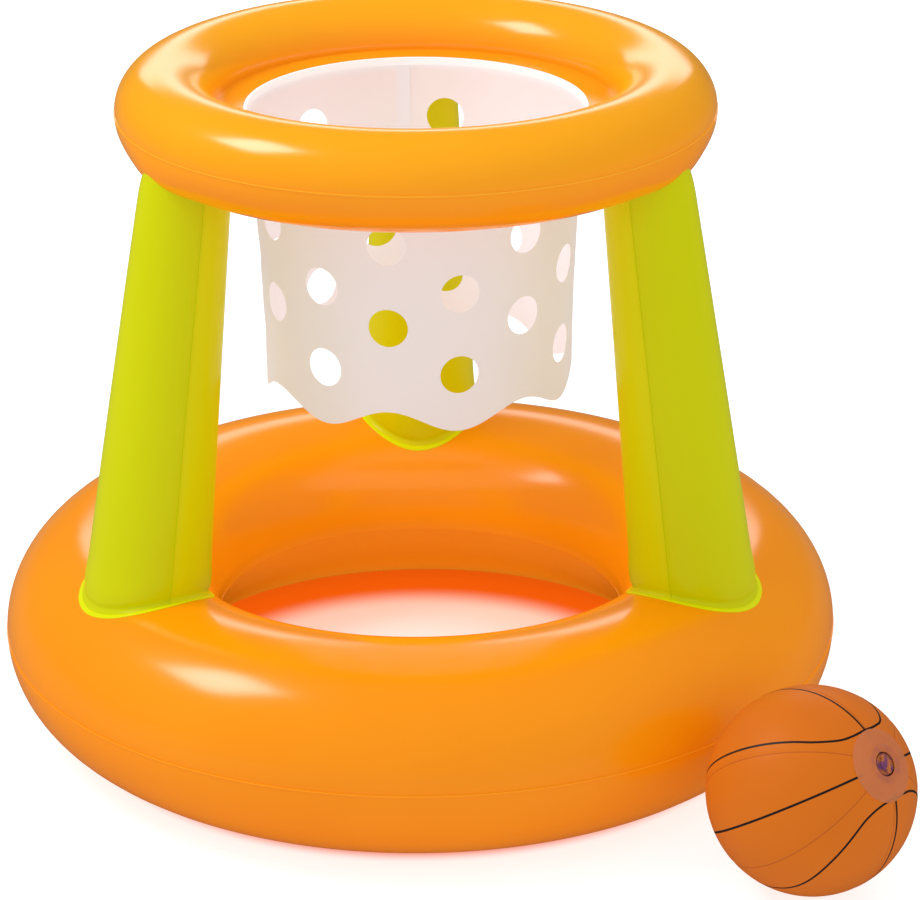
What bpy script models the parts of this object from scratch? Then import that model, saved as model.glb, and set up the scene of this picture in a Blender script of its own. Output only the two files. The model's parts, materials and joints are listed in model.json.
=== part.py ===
"""Floating basketball hoop for a pool, with its ball: welded vinyl sheets, blown up through push-in valves.

A wide base ring floats or rests on the ground. Three leaning posts stand on it and carry a smaller hoop ring,
and a perforated net hangs from that ring's inner lip. Each ring is an upper and a lower sheet welded along its
two equators, each post an outer and an inner sheet welded along its length, and the ball six gores and two
patches. Lengths are in metres, +Z is up and -Y is the front. The origin lies on the ground, under the middle
of the box round the hoop and its ball.
"""

import math
from typing import NamedTuple

import bmesh
import bpy
from mathutils import Matrix, Vector
from mathutils.geometry import delaunay_2d_cdt

MM = 0.001

# Vinyl sheet and its welds
sheet = 0.4 * MM
weld_gap = 0.3 * MM
weld_lip = 2 * MM
post_weld_lip = 1.6 * MM

# Base ring
base_outer_radius = 335 * MM
base_half_width = 85.5 * MM
base_half_height = 80 * MM
base_sole_half_width = 14 * MM

# Hoop ring
overall_height = 542.5 * MM
hoop_outer_radius = 232.5 * MM
hoop_half_width = 38.5 * MM
hoop_half_height = 37.5 * MM

# Posts: a little inside the base tube's crest at the foot, and a little outside the hoop tube's at the top
post_count = 3
post_foot_radius = 49 * MM
post_foot_shift = -4 * MM
post_top_radius = 33.5 * MM
post_top_shift = 4.6 * MM
post_seam_angle = math.radians(86)
foot_flange_rim = 4.7 * MM
foot_flange_tuck = 6 * MM
foot_flange_thickness = 0.8 * MM
foot_flange_lift = 0.9 * MM
top_flange_rim = 0.8 * MM
top_flange_tuck = 4 * MM
top_flange_thickness = 0.6 * MM
top_flange_lift = 0.9 * MM
post_seat_gap = 0.5 * MM
vent_radius = 8 * MM

# Net: columns of round holes, every other column lower, over a wavy hem. Its lap is at the back.
net_columns = 14
net_lap_azimuth = math.radians(92.2)
net_rim_radius = 131.5 * MM
net_hem_radius = 120.8 * MM
net_taper_power = 1.7
net_length = 217 * MM
net_hem_wave = 8.5 * MM
net_hole_radius = 15.2 * MM
net_hole_pitch = 66 * MM
net_long_column_drop = 47.5 * MM
net_short_column_drop = 74 * MM
net_long_column_holes = 3
net_short_column_holes = 2
net_lap = 10 * MM
net_lap_ramp = 26 * MM
net_lip_clearance = 0.9 * MM
net_band_clearance = 0.7 * MM
net_band_depth = 7 * MM
net_band_width = 8 * MM
net_band_thickness = 0.5 * MM

# Ball
ball_radius = 77.5 * MM
ball_sheet = 0.3 * MM
ball_gores = 6
ball_distance = 434.5 * MM
ball_azimuth = math.radians(-49)
ball_pole_azimuth = math.radians(-42.6)
ball_pole_elevation = math.radians(33.8)
ball_seam_turn = math.radians(54)
ball_patch_radius = 27.4 * MM
ball_patch_thickness = 0.4 * MM

# Valves: a sleeve welded into the sheet, a stem that pushes into it, a plug on a strap and a flap inside
valve_sleeve_radius = 8.3 * MM
valve_sleeve_wall = 0.6 * MM
valve_sleeve_depth = 13 * MM
valve_flange_radius = 14.5 * MM
valve_flange_thickness = 0.6 * MM
valve_clearance = 0.3 * MM
valve_recess = 0.4 * MM
valve_collar_thickness = 1.6 * MM
valve_tube_radius = 5.5 * MM
valve_tube_length = 8.5 * MM
valve_bore_radius = 3.3 * MM
valve_flap_thickness = 0.4 * MM
valve_flap_overlap = 1.2 * MM
plug_clearance = 0.4 * MM
plug_pin_length = 4.5 * MM
plug_cap_radius = 4.8 * MM
plug_cap_thickness = 0.9 * MM
plug_strap_half_width = 1.6 * MM
plug_tip_share = 0.5
plug_hinge_share = 0.875
plug_tab_share = 0.9

# How finely round shapes are cut
base_around = 48
base_section_steps = 10
hoop_around = 42
hoop_section_steps = 8
post_outer_steps = 12
post_inner_steps = 10
post_rows = 3
flange_around = 24
net_hole_sides = 8
net_hem_points = 8
gore_columns = 4
gore_rows = 7
valve_around = 16
cutter_around = 24
cutter_reach = 6 * MM

# Where the ring valves lie, as the facet of the panel that each is welded into: steps up from the outer
# equator, and steps round from the back. Both face away from the front.
base_valve_facet = (1.5, -4.5)
hoop_valve_facet = (1.5, -4.5)


class Ring(NamedTuple):
    """An inflated ring: its tube's centre circle and its oval section."""

    centre_radius: float
    centre_height: float
    half_width: float
    half_height: float


class Seat(NamedTuple):
    """Where the posts' ends meet a ring: its top (side 1) or underside (side -1), outwards of its centre line."""

    ring: Ring
    side: int
    shift: float


def sole_angle():
    """How far from straight down the base ring's flattened sole reaches, as an angle of the section."""
    return math.asin(min(1.0, base_sole_half_width / base_half_width))


BASE = Ring(
    base_outer_radius - base_half_width,
    base_half_height * math.cos(sole_angle()),
    base_half_width,
    base_half_height,
)
HOOP = Ring(
    hoop_outer_radius - hoop_half_width,
    overall_height - hoop_half_height,
    hoop_half_width,
    hoop_half_height,
)

FOOT = Seat(BASE, 1, post_foot_shift)
TOP = Seat(HOOP, -1, post_top_shift)

# The net hangs inside the hoop ring's lip, which reaches in to just clear of it.
net_outer_radius = net_rim_radius + 1.5 * sheet + weld_gap
hoop_lip = HOOP.centre_radius - hoop_half_width - net_outer_radius - net_lip_clearance

# What a valve needs of the wall it is welded into
valve_sleeve_outer_radius = valve_sleeve_radius + valve_sleeve_wall
valve_hole_radius = valve_sleeve_outer_radius + valve_clearance
valve_collar_radius = valve_sleeve_radius - valve_clearance


def clear_scene():
    for obj in list(bpy.data.objects):
        bpy.data.objects.remove(obj, do_unlink=True)


def vinyl(name, colour, roughness, alpha=1.0):
    """A material of soft vinyl in one colour."""
    material = bpy.data.materials.new(name)
    material.use_nodes = True
    shader = material.node_tree.nodes["Principled BSDF"]
    shader.inputs["Base Color"].default_value = (*colour, 1.0)
    shader.inputs["Roughness"].default_value = roughness
    shader.inputs["Metallic"].default_value = 0.0
    shader.inputs["Alpha"].default_value = alpha
    return material


def make_materials():
    return {
        "orange": vinyl("orange_vinyl", (0.90, 0.30, 0.02), 0.32),
        "lime": vinyl("lime_vinyl", (0.55, 0.56, 0.01), 0.34),
        "lime_weld": vinyl("lime_weld_vinyl", (0.78, 0.78, 0.01), 0.30),
        "net": vinyl("net_vinyl", (0.78, 0.71, 0.70), 0.45),
        "net_band": vinyl("net_band_vinyl", (0.90, 0.88, 0.88), 0.42),
        "ball": vinyl("ball_vinyl", (0.62, 0.17, 0.03), 0.45),
        "ball_patch": vinyl("ball_patch_vinyl", (0.55, 0.17, 0.06), 0.35),
        "clear": vinyl("clear_valve_vinyl", (0.75, 0.70, 0.78), 0.20, alpha=0.6),
    }


def add_empty(name, parent=None, place=None):
    """A frame that pieces are placed in."""
    empty = bpy.data.objects.new(name, None)
    bpy.context.collection.objects.link(empty)
    empty.parent = parent
    if place is not None:
        empty.matrix_local = place
    return empty


def add_piece(name, points, faces, material, parent=None, place=None):
    """One solid sub-part from its points and faces, with its faces turned outwards."""
    mesh = bpy.data.meshes.new(name)
    mesh.from_pydata([tuple(point) for point in points], [], faces)
    bm = bmesh.new()
    bm.from_mesh(mesh)
    bmesh.ops.recalc_face_normals(bm, faces=bm.faces)
    if bm.calc_volume(signed=True) < 0:
        bmesh.ops.reverse_faces(bm, faces=bm.faces)
    bm.to_mesh(mesh)
    bm.free()
    return add_object(name, mesh, material, parent, place)


def add_object(name, mesh, material, parent=None, place=None):
    """An object that shows a mesh, placed in its parent's frame."""
    if material is not None and not mesh.materials:
        mesh.materials.append(material)
    mesh.shade_smooth()
    mesh.set_sharp_from_angle(angle=math.radians(30))
    obj = bpy.data.objects.new(name, mesh)
    bpy.context.collection.objects.link(obj)
    obj.parent = parent
    if place is not None:
        obj.matrix_local = place
    return obj


def revolve(profile, steps, phase=0.0):
    """Points and faces of a closed outline of (radius, height), turned about Z. Points on the axis stay single."""
    points = []
    rows = []
    for radius, height in profile:
        if radius == 0:
            rows.append([len(points)] * steps)
            points.append((0, 0, height))
            continue
        rows.append(list(range(len(points), len(points) + steps)))
        for step in range(steps):
            angle = phase + 2 * math.pi * step / steps
            points.append((radius * math.cos(angle), radius * math.sin(angle), height))
    faces = []
    for row, after in zip(rows, rows[1:] + rows[:1]):
        for step in range(steps):
            ahead = (step + 1) % steps
            corners = [row[step], row[ahead], after[ahead], after[step]]
            single = list(dict.fromkeys(corners))
            if len(single) > 2:
                faces.append(single)
    return points, faces


def loft(rings, cap_faces=None):
    """Points and faces of a body through like rings of points, with its two ends capped."""
    count = len(rings[0])
    points = [point for ring in rings for point in ring]
    faces = []
    for start in range(0, count * (len(rings) - 1), count):
        for index in range(count):
            ahead = (index + 1) % count
            faces.append([start + index, start + ahead, start + count + ahead, start + count + index])
    last = count * (len(rings) - 1)
    for cap in cap_faces or [list(range(count))]:
        faces.append(list(cap))
        faces.append([last + index for index in cap])
    return points, faces


def closed_loft(rings):
    """Points and faces of a body through like rings of points that come back to the first."""
    count = len(rings[0])
    points = [point for ring in rings for point in ring]
    faces = []
    for number in range(len(rings)):
        here = number * count
        there = (number + 1) % len(rings) * count
        for index in range(count):
            ahead = (index + 1) % count
            faces.append([here + index, here + ahead, there + ahead, there + index])
    return points, faces


def grid_shell(outer, inner):
    """Points and faces of a shell between two grids of points, closed all round its edge."""
    rows = len(outer)
    columns = len(outer[0])
    points = [point for grid in (outer, inner) for row in grid for point in row]

    def index(side, row, column):
        return (side * rows + row) * columns + column

    faces = []
    for row in range(rows - 1):
        for column in range(columns - 1):
            corners = ((row, column), (row, column + 1), (row + 1, column + 1), (row + 1, column))
            faces.append([index(0, *corner) for corner in corners])
            faces.append([index(1, *corner) for corner in reversed(corners)])
    rim = [(0, column) for column in range(columns)]
    rim += [(row, columns - 1) for row in range(1, rows)]
    rim += [(rows - 1, column) for column in range(columns - 2, -1, -1)]
    rim += [(row, 0) for row in range(rows - 2, 0, -1)]
    for here, there in zip(rim, rim[1:] + rim[:1]):
        faces.append([index(0, *there), index(0, *here), index(1, *here), index(1, *there)])
    return points, faces


def section_point(half_width, half_height, angle, proud=0.0, along=0.0):
    """A point of a tube's oval section, proud of its wall and along it, at an angle from its outer side."""
    normal = Vector((half_height * math.cos(angle), half_width * math.sin(angle))).normalized()
    tangent = Vector((-normal.y, normal.x))
    on_wall = Vector((half_width * math.cos(angle), half_height * math.sin(angle)))
    return on_wall + proud * normal + along * tangent


def panel_section(half_width, half_height, angles, start_lip, end_lip):
    """The closed outline of one welded sheet of a tube: its wall through the angles, and a lip at each end."""
    start, *between, end = angles
    low = weld_gap / 2
    high = low + sheet

    def at(angle, proud, along):
        return section_point(half_width, half_height, angle, proud, along)

    outline = [at(start, start_lip, low), at(start, start_lip, high), at(start, 0, high)]
    outline += [at(angle, 0, 0) for angle in between]
    outline += [at(end, 0, -high), at(end, end_lip, -high), at(end, end_lip, -low), at(end, -sheet, -low)]
    outline += [at(angle, -sheet, 0) for angle in reversed(between)]
    outline += [at(start, -sheet, low)]
    return outline


def panel_caps(steps):
    """The faces that close the end of a panel_section outline of so many steps."""
    last = 2 * steps + 5
    outside = list(range(2, steps + 3))
    inside = list(range(last, steps + 4, -1))
    caps = [[0, 1, 2, last], [steps + 2, steps + 3, steps + 4, steps + 5]]
    for index in range(steps):
        caps.append([outside[index], outside[index + 1], inside[index + 1], inside[index]])
    return caps


def spread(start, end, steps):
    return [start + (end - start) * step / steps for step in range(steps + 1)]


def sole_angles():
    """The lower sheet's angles, with one flat step between the two edges of the sole."""
    quarter = (base_section_steps - 1) // 2
    down = 1.5 * math.pi
    inner_side = spread(math.pi, down - sole_angle(), quarter)
    outer_side = spread(down + sole_angle(), 2 * math.pi, quarter)
    return inner_side + outer_side


def ring_outline(ring, angles, start_lip, end_lip):
    section = panel_section(ring.half_width, ring.half_height, angles, start_lip, end_lip)
    return [(ring.centre_radius + point.x, ring.centre_height + point.y) for point in section]


def add_ring_panel(name, ring, angles, lips, steps, material, parent):
    """One of a ring's two sheets, as a closed shell all the way round."""
    points, faces = revolve(ring_outline(ring, angles, *lips), steps)
    return add_piece(name, points, faces, material, parent)


def facet_place(ring, across, around, facet):
    """The frame of a panel's flat facet: its origin in the facet's middle and its Z straight out of it."""
    up_steps, round_steps = facet
    low_angle = math.pi / across * (up_steps - 0.5)
    high_angle = math.pi / across * (up_steps + 0.5)
    corners = []
    for angle in (low_angle, high_angle):
        across_point = section_point(ring.half_width, ring.half_height, angle)
        for side in (-0.5, 0.5):
            azimuth = math.pi / 2 + 2 * math.pi / around * (round_steps + side)
            radius = ring.centre_radius + across_point.x
            corners.append(
                Vector(
                    (
                        radius * math.cos(azimuth),
                        radius * math.sin(azimuth),
                        ring.centre_height + across_point.y,
                    )
                )
            )
    middle = sum(corners, Vector()) / len(corners)
    along = ((corners[1] - corners[0]) + (corners[3] - corners[2])).normalized()
    up = ((corners[2] - corners[0]) + (corners[3] - corners[1])).normalized()
    out = along.cross(up).normalized()
    return frame_of(middle, up, out)


def frame_of(origin, along, out):
    """A frame with its X along a direction and its Z out of a face."""
    side = out.cross(along).normalized()
    place = Matrix((along, side, out)).transposed().to_4x4()
    place.translation = origin
    return place


def add_cutter(name, radius, parent, place):
    """A round cutter about its own Z, which reaches through one wall."""
    rings = []
    for height in (-cutter_reach, cutter_reach):
        ring = []
        for step in range(cutter_around):
            angle = 2 * math.pi * step / cutter_around
            ring.append((radius * math.cos(angle), radius * math.sin(angle), height))
        rings.append(ring)
    points, faces = loft(rings)
    cutter = add_piece(name, points, faces, None, parent, place)
    cutter.hide_render = True
    cutter.display_type = "WIRE"
    return cutter


def cut(obj, cutter):
    modifier = obj.modifiers.new(cutter.name, "BOOLEAN")
    modifier.operation = "DIFFERENCE"
    modifier.object = cutter


def on_seat(seat, azimuth, offset, proud):
    """A point over a seat, at an offset (outwards, sideways) from its middle and so far proud of the ring."""
    ring = seat.ring
    outward = Vector((math.cos(azimuth), math.sin(azimuth)))
    sideways = Vector((-outward.y, outward.x))
    place = outward * (ring.centre_radius + seat.shift + offset[0]) + sideways * offset[1]
    share = min(1.0, abs(place.length - ring.centre_radius) / (ring.half_width + proud))
    height = seat.side * (ring.half_height + proud) * math.sqrt(1 - share * share)
    return Vector((place.x, place.y, ring.centre_height + height))


def add_post_panel(name, azimuth, angles, material, parent):
    """One of a post's two sheets: straight from its foot on the base ring to its top under the hoop ring."""
    foot_proud = foot_flange_lift + foot_flange_thickness + post_seat_gap
    top_proud = top_flange_lift + top_flange_thickness + post_seat_gap
    lips = (post_weld_lip, post_weld_lip)
    foot_outline = panel_section(post_foot_radius, post_foot_radius, angles, *lips)
    top_outline = panel_section(post_top_radius, post_top_radius, angles, *lips)
    foot = [on_seat(FOOT, azimuth, offset, foot_proud) for offset in foot_outline]
    top = [on_seat(TOP, azimuth, offset, top_proud) for offset in top_outline]
    rings = []
    for row in range(post_rows + 1):
        share = row / post_rows
        rings.append([low.lerp(high, share) for low, high in zip(foot, top)])
    points, faces = loft(rings, panel_caps(len(angles) - 1))
    return add_piece(name, points, faces, material, parent)


def add_flange(name, seat, azimuth, radii, prouds, material, parent):
    """The weld flange between a post's end and a ring: a band round the post that lies on the ring."""
    inner_radius, outer_radius = radii
    low, high = prouds
    rings = []
    for step in range(flange_around):
        angle = 2 * math.pi * step / flange_around
        outline = ((inner_radius, low), (outer_radius, low), (outer_radius, high), (inner_radius, high))
        ring_points = []
        for radius, proud in outline:
            offset = (radius * math.cos(angle), radius * math.sin(angle))
            ring_points.append(on_seat(seat, azimuth, offset, proud))
        rings.append(ring_points)
    points, faces = closed_loft(rings)
    return add_piece(name, points, faces, material, parent)


def add_base_ring(materials, parent):
    upper_angles = spread(0, math.pi, base_section_steps)
    lips = (weld_lip, weld_lip)
    upper = add_ring_panel("base_upper_panel", BASE, upper_angles, lips, base_around, materials["orange"], parent)
    add_ring_panel("base_lower_panel", BASE, sole_angles(), lips, base_around, materials["orange"], parent)
    return upper


def add_hoop_ring(materials, parent):
    upper_angles = spread(0, math.pi, hoop_section_steps)
    lower_angles = spread(math.pi, 2 * math.pi, hoop_section_steps)
    upper = add_ring_panel(
        "hoop_upper_panel", HOOP, upper_angles, (weld_lip, hoop_lip), hoop_around, materials["orange"], parent
    )
    add_ring_panel(
        "hoop_lower_panel", HOOP, lower_angles, (hoop_lip, weld_lip), hoop_around, materials["orange"], parent
    )
    return upper


def add_post(name, azimuth, base_upper, materials, parent):
    """A post with its two sheets, its flanges and the vent that fills it from the base ring."""
    outer_angles = spread(-post_seam_angle, post_seam_angle, post_outer_steps)
    inner_angles = spread(post_seam_angle, 2 * math.pi - post_seam_angle, post_inner_steps)
    add_post_panel(f"{name}_outer_panel", azimuth, outer_angles, materials["lime"], parent)
    add_post_panel(f"{name}_inner_panel", azimuth, inner_angles, materials["lime"], parent)
    add_flange(
        f"{name}_foot_flange",
        FOOT,
        azimuth,
        (post_foot_radius - foot_flange_tuck, post_foot_radius + foot_flange_rim),
        (foot_flange_lift, foot_flange_lift + foot_flange_thickness),
        materials["lime_weld"],
        parent,
    )
    add_flange(
        f"{name}_top_flange",
        TOP,
        azimuth,
        (post_top_radius - top_flange_tuck, post_top_radius + top_flange_rim),
        (top_flange_lift, top_flange_lift + top_flange_thickness),
        materials["lime_weld"],
        parent,
    )
    place = Matrix.Translation(on_seat(FOOT, azimuth, (0, 0), 0))
    cut(base_upper, add_cutter(f"{name}_vent_cutter", vent_radius, parent, place))


def net_radius(drop):
    """Radius at which the net hangs, so far below its rim."""
    left = max(0.0, 1 - drop / net_length)
    return net_hem_radius + (net_rim_radius - net_hem_radius) * left**net_taper_power


def net_hem_drop(turn):
    """How far below the rim the hem hangs: it dips under each long column of holes."""
    return net_length - net_hem_wave * math.sin(net_columns / 2 * turn)


def net_point(turn, drop):
    """A point of the net, by its turn from the lap and its drop. The far end laps outside the near one."""
    ramp = net_lap_ramp / net_rim_radius
    share = min(1.0, max(0.0, (turn - 2 * math.pi + ramp) / ramp))
    radius = net_radius(drop) + (sheet + weld_gap) * share
    azimuth = net_lap_azimuth + turn
    return Vector((radius * math.cos(azimuth), radius * math.sin(azimuth), HOOP.centre_height - drop))


def net_holes():
    """Turn and drop of the middle of each hole."""
    column_turn = 2 * math.pi / net_columns
    holes = []
    for column in range(net_columns):
        first, count = (net_short_column_drop, net_short_column_holes)
        if column % 2:
            first, count = (net_long_column_drop, net_long_column_holes)
        for row in range(count):
            holes.append(((column + 0.5) * column_turn, first + row * net_hole_pitch))
    return holes


def net_outline_points():
    """The flat sheet's outline, as turn and drop: rim, far end, hem and near end."""
    full = 2 * math.pi + net_lap / net_rim_radius
    half_column = math.pi / net_columns
    rim = [(half_column * step, 0.0) for step in range(2 * net_columns + 1)]
    rim.append((full, 0.0))
    hem_count = net_columns // 2 * net_hem_points
    hem_step = 2 * math.pi / hem_count
    hem = [(full, net_hem_drop(full))]
    hem += [(hem_step * step, net_hem_drop(hem_step * step)) for step in range(hem_count, -1, -1)]
    end_rows = (1, 2, 3)
    far_end = [(full, net_hem_drop(full) * row / 4) for row in end_rows]
    near_end = [(0.0, net_hem_drop(0.0) * row / 4) for row in reversed(end_rows)]
    return rim + far_end + hem + near_end


def net_fold_lines():
    """Upright lines between the columns, where the flat sheet bends as it is wrapped."""
    lines = []
    for column in range(1, net_columns):
        turn = 2 * math.pi / net_columns * column
        lines.append([(turn, net_hem_drop(turn) * row / 6) for row in range(7)])
    lines.append([(2 * math.pi, net_hem_drop(2 * math.pi) * row / 4) for row in range(5)])
    return lines


def net_mesh():
    """The net's sheet, filled between its outline and its holes."""
    flat = []
    edges = []

    def add_line(points, closed):
        start = len(flat)
        flat.extend(points)
        edges.extend((start + index, start + index + 1) for index in range(len(points) - 1))
        if closed:
            edges.append((start + len(points) - 1, start))

    add_line(net_outline_points(), True)
    for line in net_fold_lines():
        add_line(line, False)
    for turn, drop in net_holes():
        radius = net_radius(drop)
        ring = []
        for side in range(net_hole_sides):
            angle = 2 * math.pi * (side + 0.5) / net_hole_sides
            across = net_hole_radius * math.cos(angle) / radius
            ring.append((turn + across, drop + net_hole_radius * math.sin(angle)))
        add_line(ring, True)
    unrolled = [Vector((turn * net_rim_radius, -drop)) for turn, drop in flat]
    merge = sheet / 100
    filled, _, triangles, _, _, _ = delaunay_2d_cdt(unrolled, edges, [], 0, merge)
    kept = [triangle for triangle in triangles if in_net([filled[index] for index in triangle])]
    points = [net_point(point.x / net_rim_radius, -point.y) for point in filled]
    return points, kept


def in_net(corners):
    """Whether a triangle of the flat sheet is cloth, and not in a hole or below the hem."""
    middle = sum(corners, Vector((0, 0))) / len(corners)
    turn = middle.x / net_rim_radius
    drop = -middle.y
    for hole_turn, hole_drop in net_holes():
        across = (turn - hole_turn) * net_radius(hole_drop)
        if math.hypot(across, drop - hole_drop) < net_hole_radius * math.cos(math.pi / net_hole_sides):
            return False
    highest = max(corner.y for corner in corners)
    hem = [net_hem_drop(corner.x / net_rim_radius) for corner in corners]
    below = all(-corner.y > depth - sheet for corner, depth in zip(corners, hem))
    return not (below and highest < 0)


def add_net(materials, parent):
    points, faces = net_mesh()
    used = sorted({index for face in faces for index in face})
    order = {index: number for number, index in enumerate(used)}
    faces = [[order[index] for index in face] for face in faces]
    mesh = bpy.data.meshes.new("net_sheet")
    mesh.from_pydata([tuple(points[index]) for index in used], [], faces)
    net = add_object("net_sheet", mesh, materials["net"], parent)
    solidify = net.modifiers.new("thickness", "SOLIDIFY")
    solidify.thickness = sheet
    solidify.offset = 0.0
    solidify.use_even_offset = False

    under_lip = HOOP.centre_height - weld_gap / 2 - sheet - weld_gap
    inner = net_outer_radius + net_band_clearance
    leg = inner + net_band_thickness
    outer = inner + net_band_width
    profile = [
        (inner, under_lip - net_band_depth),
        (leg, under_lip - net_band_depth),
        (leg, under_lip - net_band_thickness),
        (outer, under_lip - net_band_thickness),
        (outer, under_lip),
        (inner, under_lip),
    ]
    points, faces = revolve(profile, hoop_around)
    add_piece("net_top_band", points, faces, materials["net_band"], parent)


def ball_place():
    """The ball's frame: its origin in its middle, its Z through its valve, and its X the side that looks up."""
    place_on_ground = Vector((math.cos(ball_azimuth), math.sin(ball_azimuth), 0)) * ball_distance
    level = Vector((math.cos(ball_pole_azimuth), math.sin(ball_pole_azimuth), 0))
    pole = level * math.cos(ball_pole_elevation) + Vector((0, 0, math.sin(ball_pole_elevation)))
    upward = (Vector((0, 0, 1)) - pole * pole.z).normalized()
    return frame_of(place_on_ground + Vector((0, 0, ball_radius)), upward, pole)


def ball_rows():
    """Angles from the pole at which the gores are cut across: the hole, the patch's edge and even rows."""
    hole = math.asin(valve_hole_radius / ball_radius)
    patch = math.asin(ball_patch_radius / ball_radius)
    return [hole, *spread(patch, math.pi - patch, gore_rows), math.pi - hole]


def ball_point(radius, down, turn):
    flat = radius * math.sin(down)
    return (flat * math.cos(turn), flat * math.sin(turn), radius * math.cos(down))


def add_gore(number, material, parent):
    """One sixth of the ball's skin, from near one pole to near the other, just clear of its neighbours."""
    start = ball_seam_turn + 2 * math.pi / ball_gores * number
    end = start + 2 * math.pi / ball_gores
    grids = []
    for radius in (ball_radius, ball_radius - ball_sheet):
        grid = []
        for down in ball_rows():
            margin = math.asin(weld_gap / 2 / (radius * math.sin(down)))
            turns = spread(start + margin, end - margin, gore_columns)
            grid.append([ball_point(radius, down, turn) for turn in turns])
        grids.append(grid)
    points, faces = grid_shell(*grids)
    add_piece(f"ball_gore_{number + 1}", points, faces, material, parent)


def patch_outline(angles):
    """A patch's closed outline on the ball, as (radius, height), through angles from the pole."""
    low = ball_radius + weld_gap
    high = low + ball_patch_thickness
    outline = [(low * math.sin(angle), low * math.cos(angle)) for angle in angles]
    outline += [(high * math.sin(angle), high * math.cos(angle)) for angle in reversed(angles)]
    return outline


def add_ball(materials, parent):
    for number in range(ball_gores):
        add_gore(number, materials["ball"], parent)
    around = ball_gores * gore_columns
    hole, patch = ball_rows()[:2]
    points, faces = revolve(patch_outline([hole, patch]), around, ball_seam_turn)
    add_piece("ball_valve_patch", points, faces, materials["ball_patch"], parent)
    points, faces = revolve(patch_outline([0, hole, patch]), around, ball_seam_turn)
    turned = Matrix.Rotation(math.pi, 4, "X") @ Matrix.Rotation(-2 * ball_seam_turn, 4, "Z")
    add_piece("ball_pole_patch", points, faces, materials["ball_patch"], parent, turned)


def ball_valve_place():
    """The ball valve's frame, on the flat middle of its patch."""
    high = ball_radius + weld_gap + ball_patch_thickness
    return Matrix.Translation((0, 0, high * math.cos(ball_rows()[0])))


def plug_directions():
    """Directions round the plug's cap with the reach of its outline there: a strap, the cap and a tab."""
    half = plug_strap_half_width
    neck = math.asin(min(1.0, half / plug_cap_radius))
    hinge = valve_collar_radius * plug_hinge_share
    tab = valve_collar_radius * plug_tab_share
    strap_corner = (math.atan2(half, hinge), math.hypot(half, hinge))
    tab_corner = (math.atan2(half, tab), math.hypot(half, tab))
    upper = [strap_corner, (neck, plug_cap_radius)]
    upper += [(angle, plug_cap_radius) for angle in spread(neck, math.pi - neck, 5)[1:-1]]
    upper += [(math.pi - neck, plug_cap_radius), (math.pi - tab_corner[0], tab_corner[1])]
    lower = [(2 * math.pi - angle, reach) for angle, reach in reversed(upper)]
    return upper + lower


def plug_mesh():
    """The plug about its hinge line: a tapered pin under a flat cap, with a strap to +X and a tab to -X."""
    root = valve_bore_radius - plug_clearance
    hinge = Vector((valve_collar_radius * plug_hinge_share, 0, plug_cap_thickness / 2))
    directions = plug_directions()

    def ring(reach_of, height):
        return [
            Vector((reach_of(reach) * math.cos(angle), reach_of(reach) * math.sin(angle), height)) - hinge
            for angle, reach in directions
        ]

    rings = [
        ring(lambda reach: root * plug_tip_share, -plug_pin_length),
        ring(lambda reach: root, 0),
        ring(lambda reach: reach, 0),
        ring(lambda reach: reach, plug_cap_thickness),
    ]
    return loft(rings)


def valve_profiles():
    """The closed outlines of a valve's round pieces, as (radius, height) from the face it is welded to."""
    low = valve_clearance
    high = low + valve_flange_thickness
    collar_top = -valve_recess
    collar_bottom = collar_top - valve_collar_thickness
    tube_end = collar_bottom - valve_tube_length
    flange = [
        (valve_sleeve_radius, -valve_sleeve_depth),
        (valve_sleeve_outer_radius, -valve_sleeve_depth),
        (valve_sleeve_outer_radius, low),
        (valve_flange_radius, low),
        (valve_flange_radius, high),
        (valve_sleeve_radius, high),
    ]
    stem = [
        (valve_bore_radius, tube_end),
        (valve_tube_radius, tube_end),
        (valve_tube_radius, collar_bottom),
        (valve_collar_radius, collar_bottom),
        (valve_collar_radius, collar_top),
        (valve_bore_radius, collar_top),
    ]
    flap_radius = valve_bore_radius + valve_flap_overlap
    flap_top = tube_end - valve_clearance
    flap = [(0, flap_top - valve_flap_thickness), (flap_radius, flap_top - valve_flap_thickness)]
    flap += [(flap_radius, flap_top), (0, flap_top)]
    return flange, stem, flap


def add_valve(name, seat, material):
    """A push-in valve in its seat's frame. Its stem slides along Z, and its plug and flap swing about Y."""
    flange, stem, flap = valve_profiles()
    points, faces = revolve(flange, valve_around)
    add_piece(f"{name}_valve_flange", points, faces, material, seat)
    points, faces = revolve(stem, valve_around)
    stem_piece = add_piece(f"{name}_valve_stem", points, faces, material, seat)

    flap_radius = flap[1][0]
    flap_middle = (flap[0][1] + flap[-1][1]) / 2
    hinge = Vector((flap_radius, 0, flap_middle))
    points, faces = revolve(flap, valve_around)
    points = [Vector(point) - hinge for point in points]
    add_piece(f"{name}_valve_flap", points, faces, material, stem_piece, Matrix.Translation(hinge))

    cap_bottom = -valve_recess + valve_clearance
    hinge = Vector((valve_collar_radius * plug_hinge_share, 0, cap_bottom + plug_cap_thickness / 2))
    points, faces = plug_mesh()
    add_piece(f"{name}_valve_plug", points, faces, material, stem_piece, Matrix.Translation(hinge))


def add_ring_valve(name, ring, across, around, facet, panel, material, parent):
    """A valve in the middle of a panel's facet, and the hole that it is welded into."""
    place = facet_place(ring, across, around, facet)
    seat = add_empty(f"{name}_valve_seat", parent, place)
    cut(panel, add_cutter(f"{name}_valve_cutter", valve_hole_radius, parent, place))
    add_valve(name, seat, material)


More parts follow.
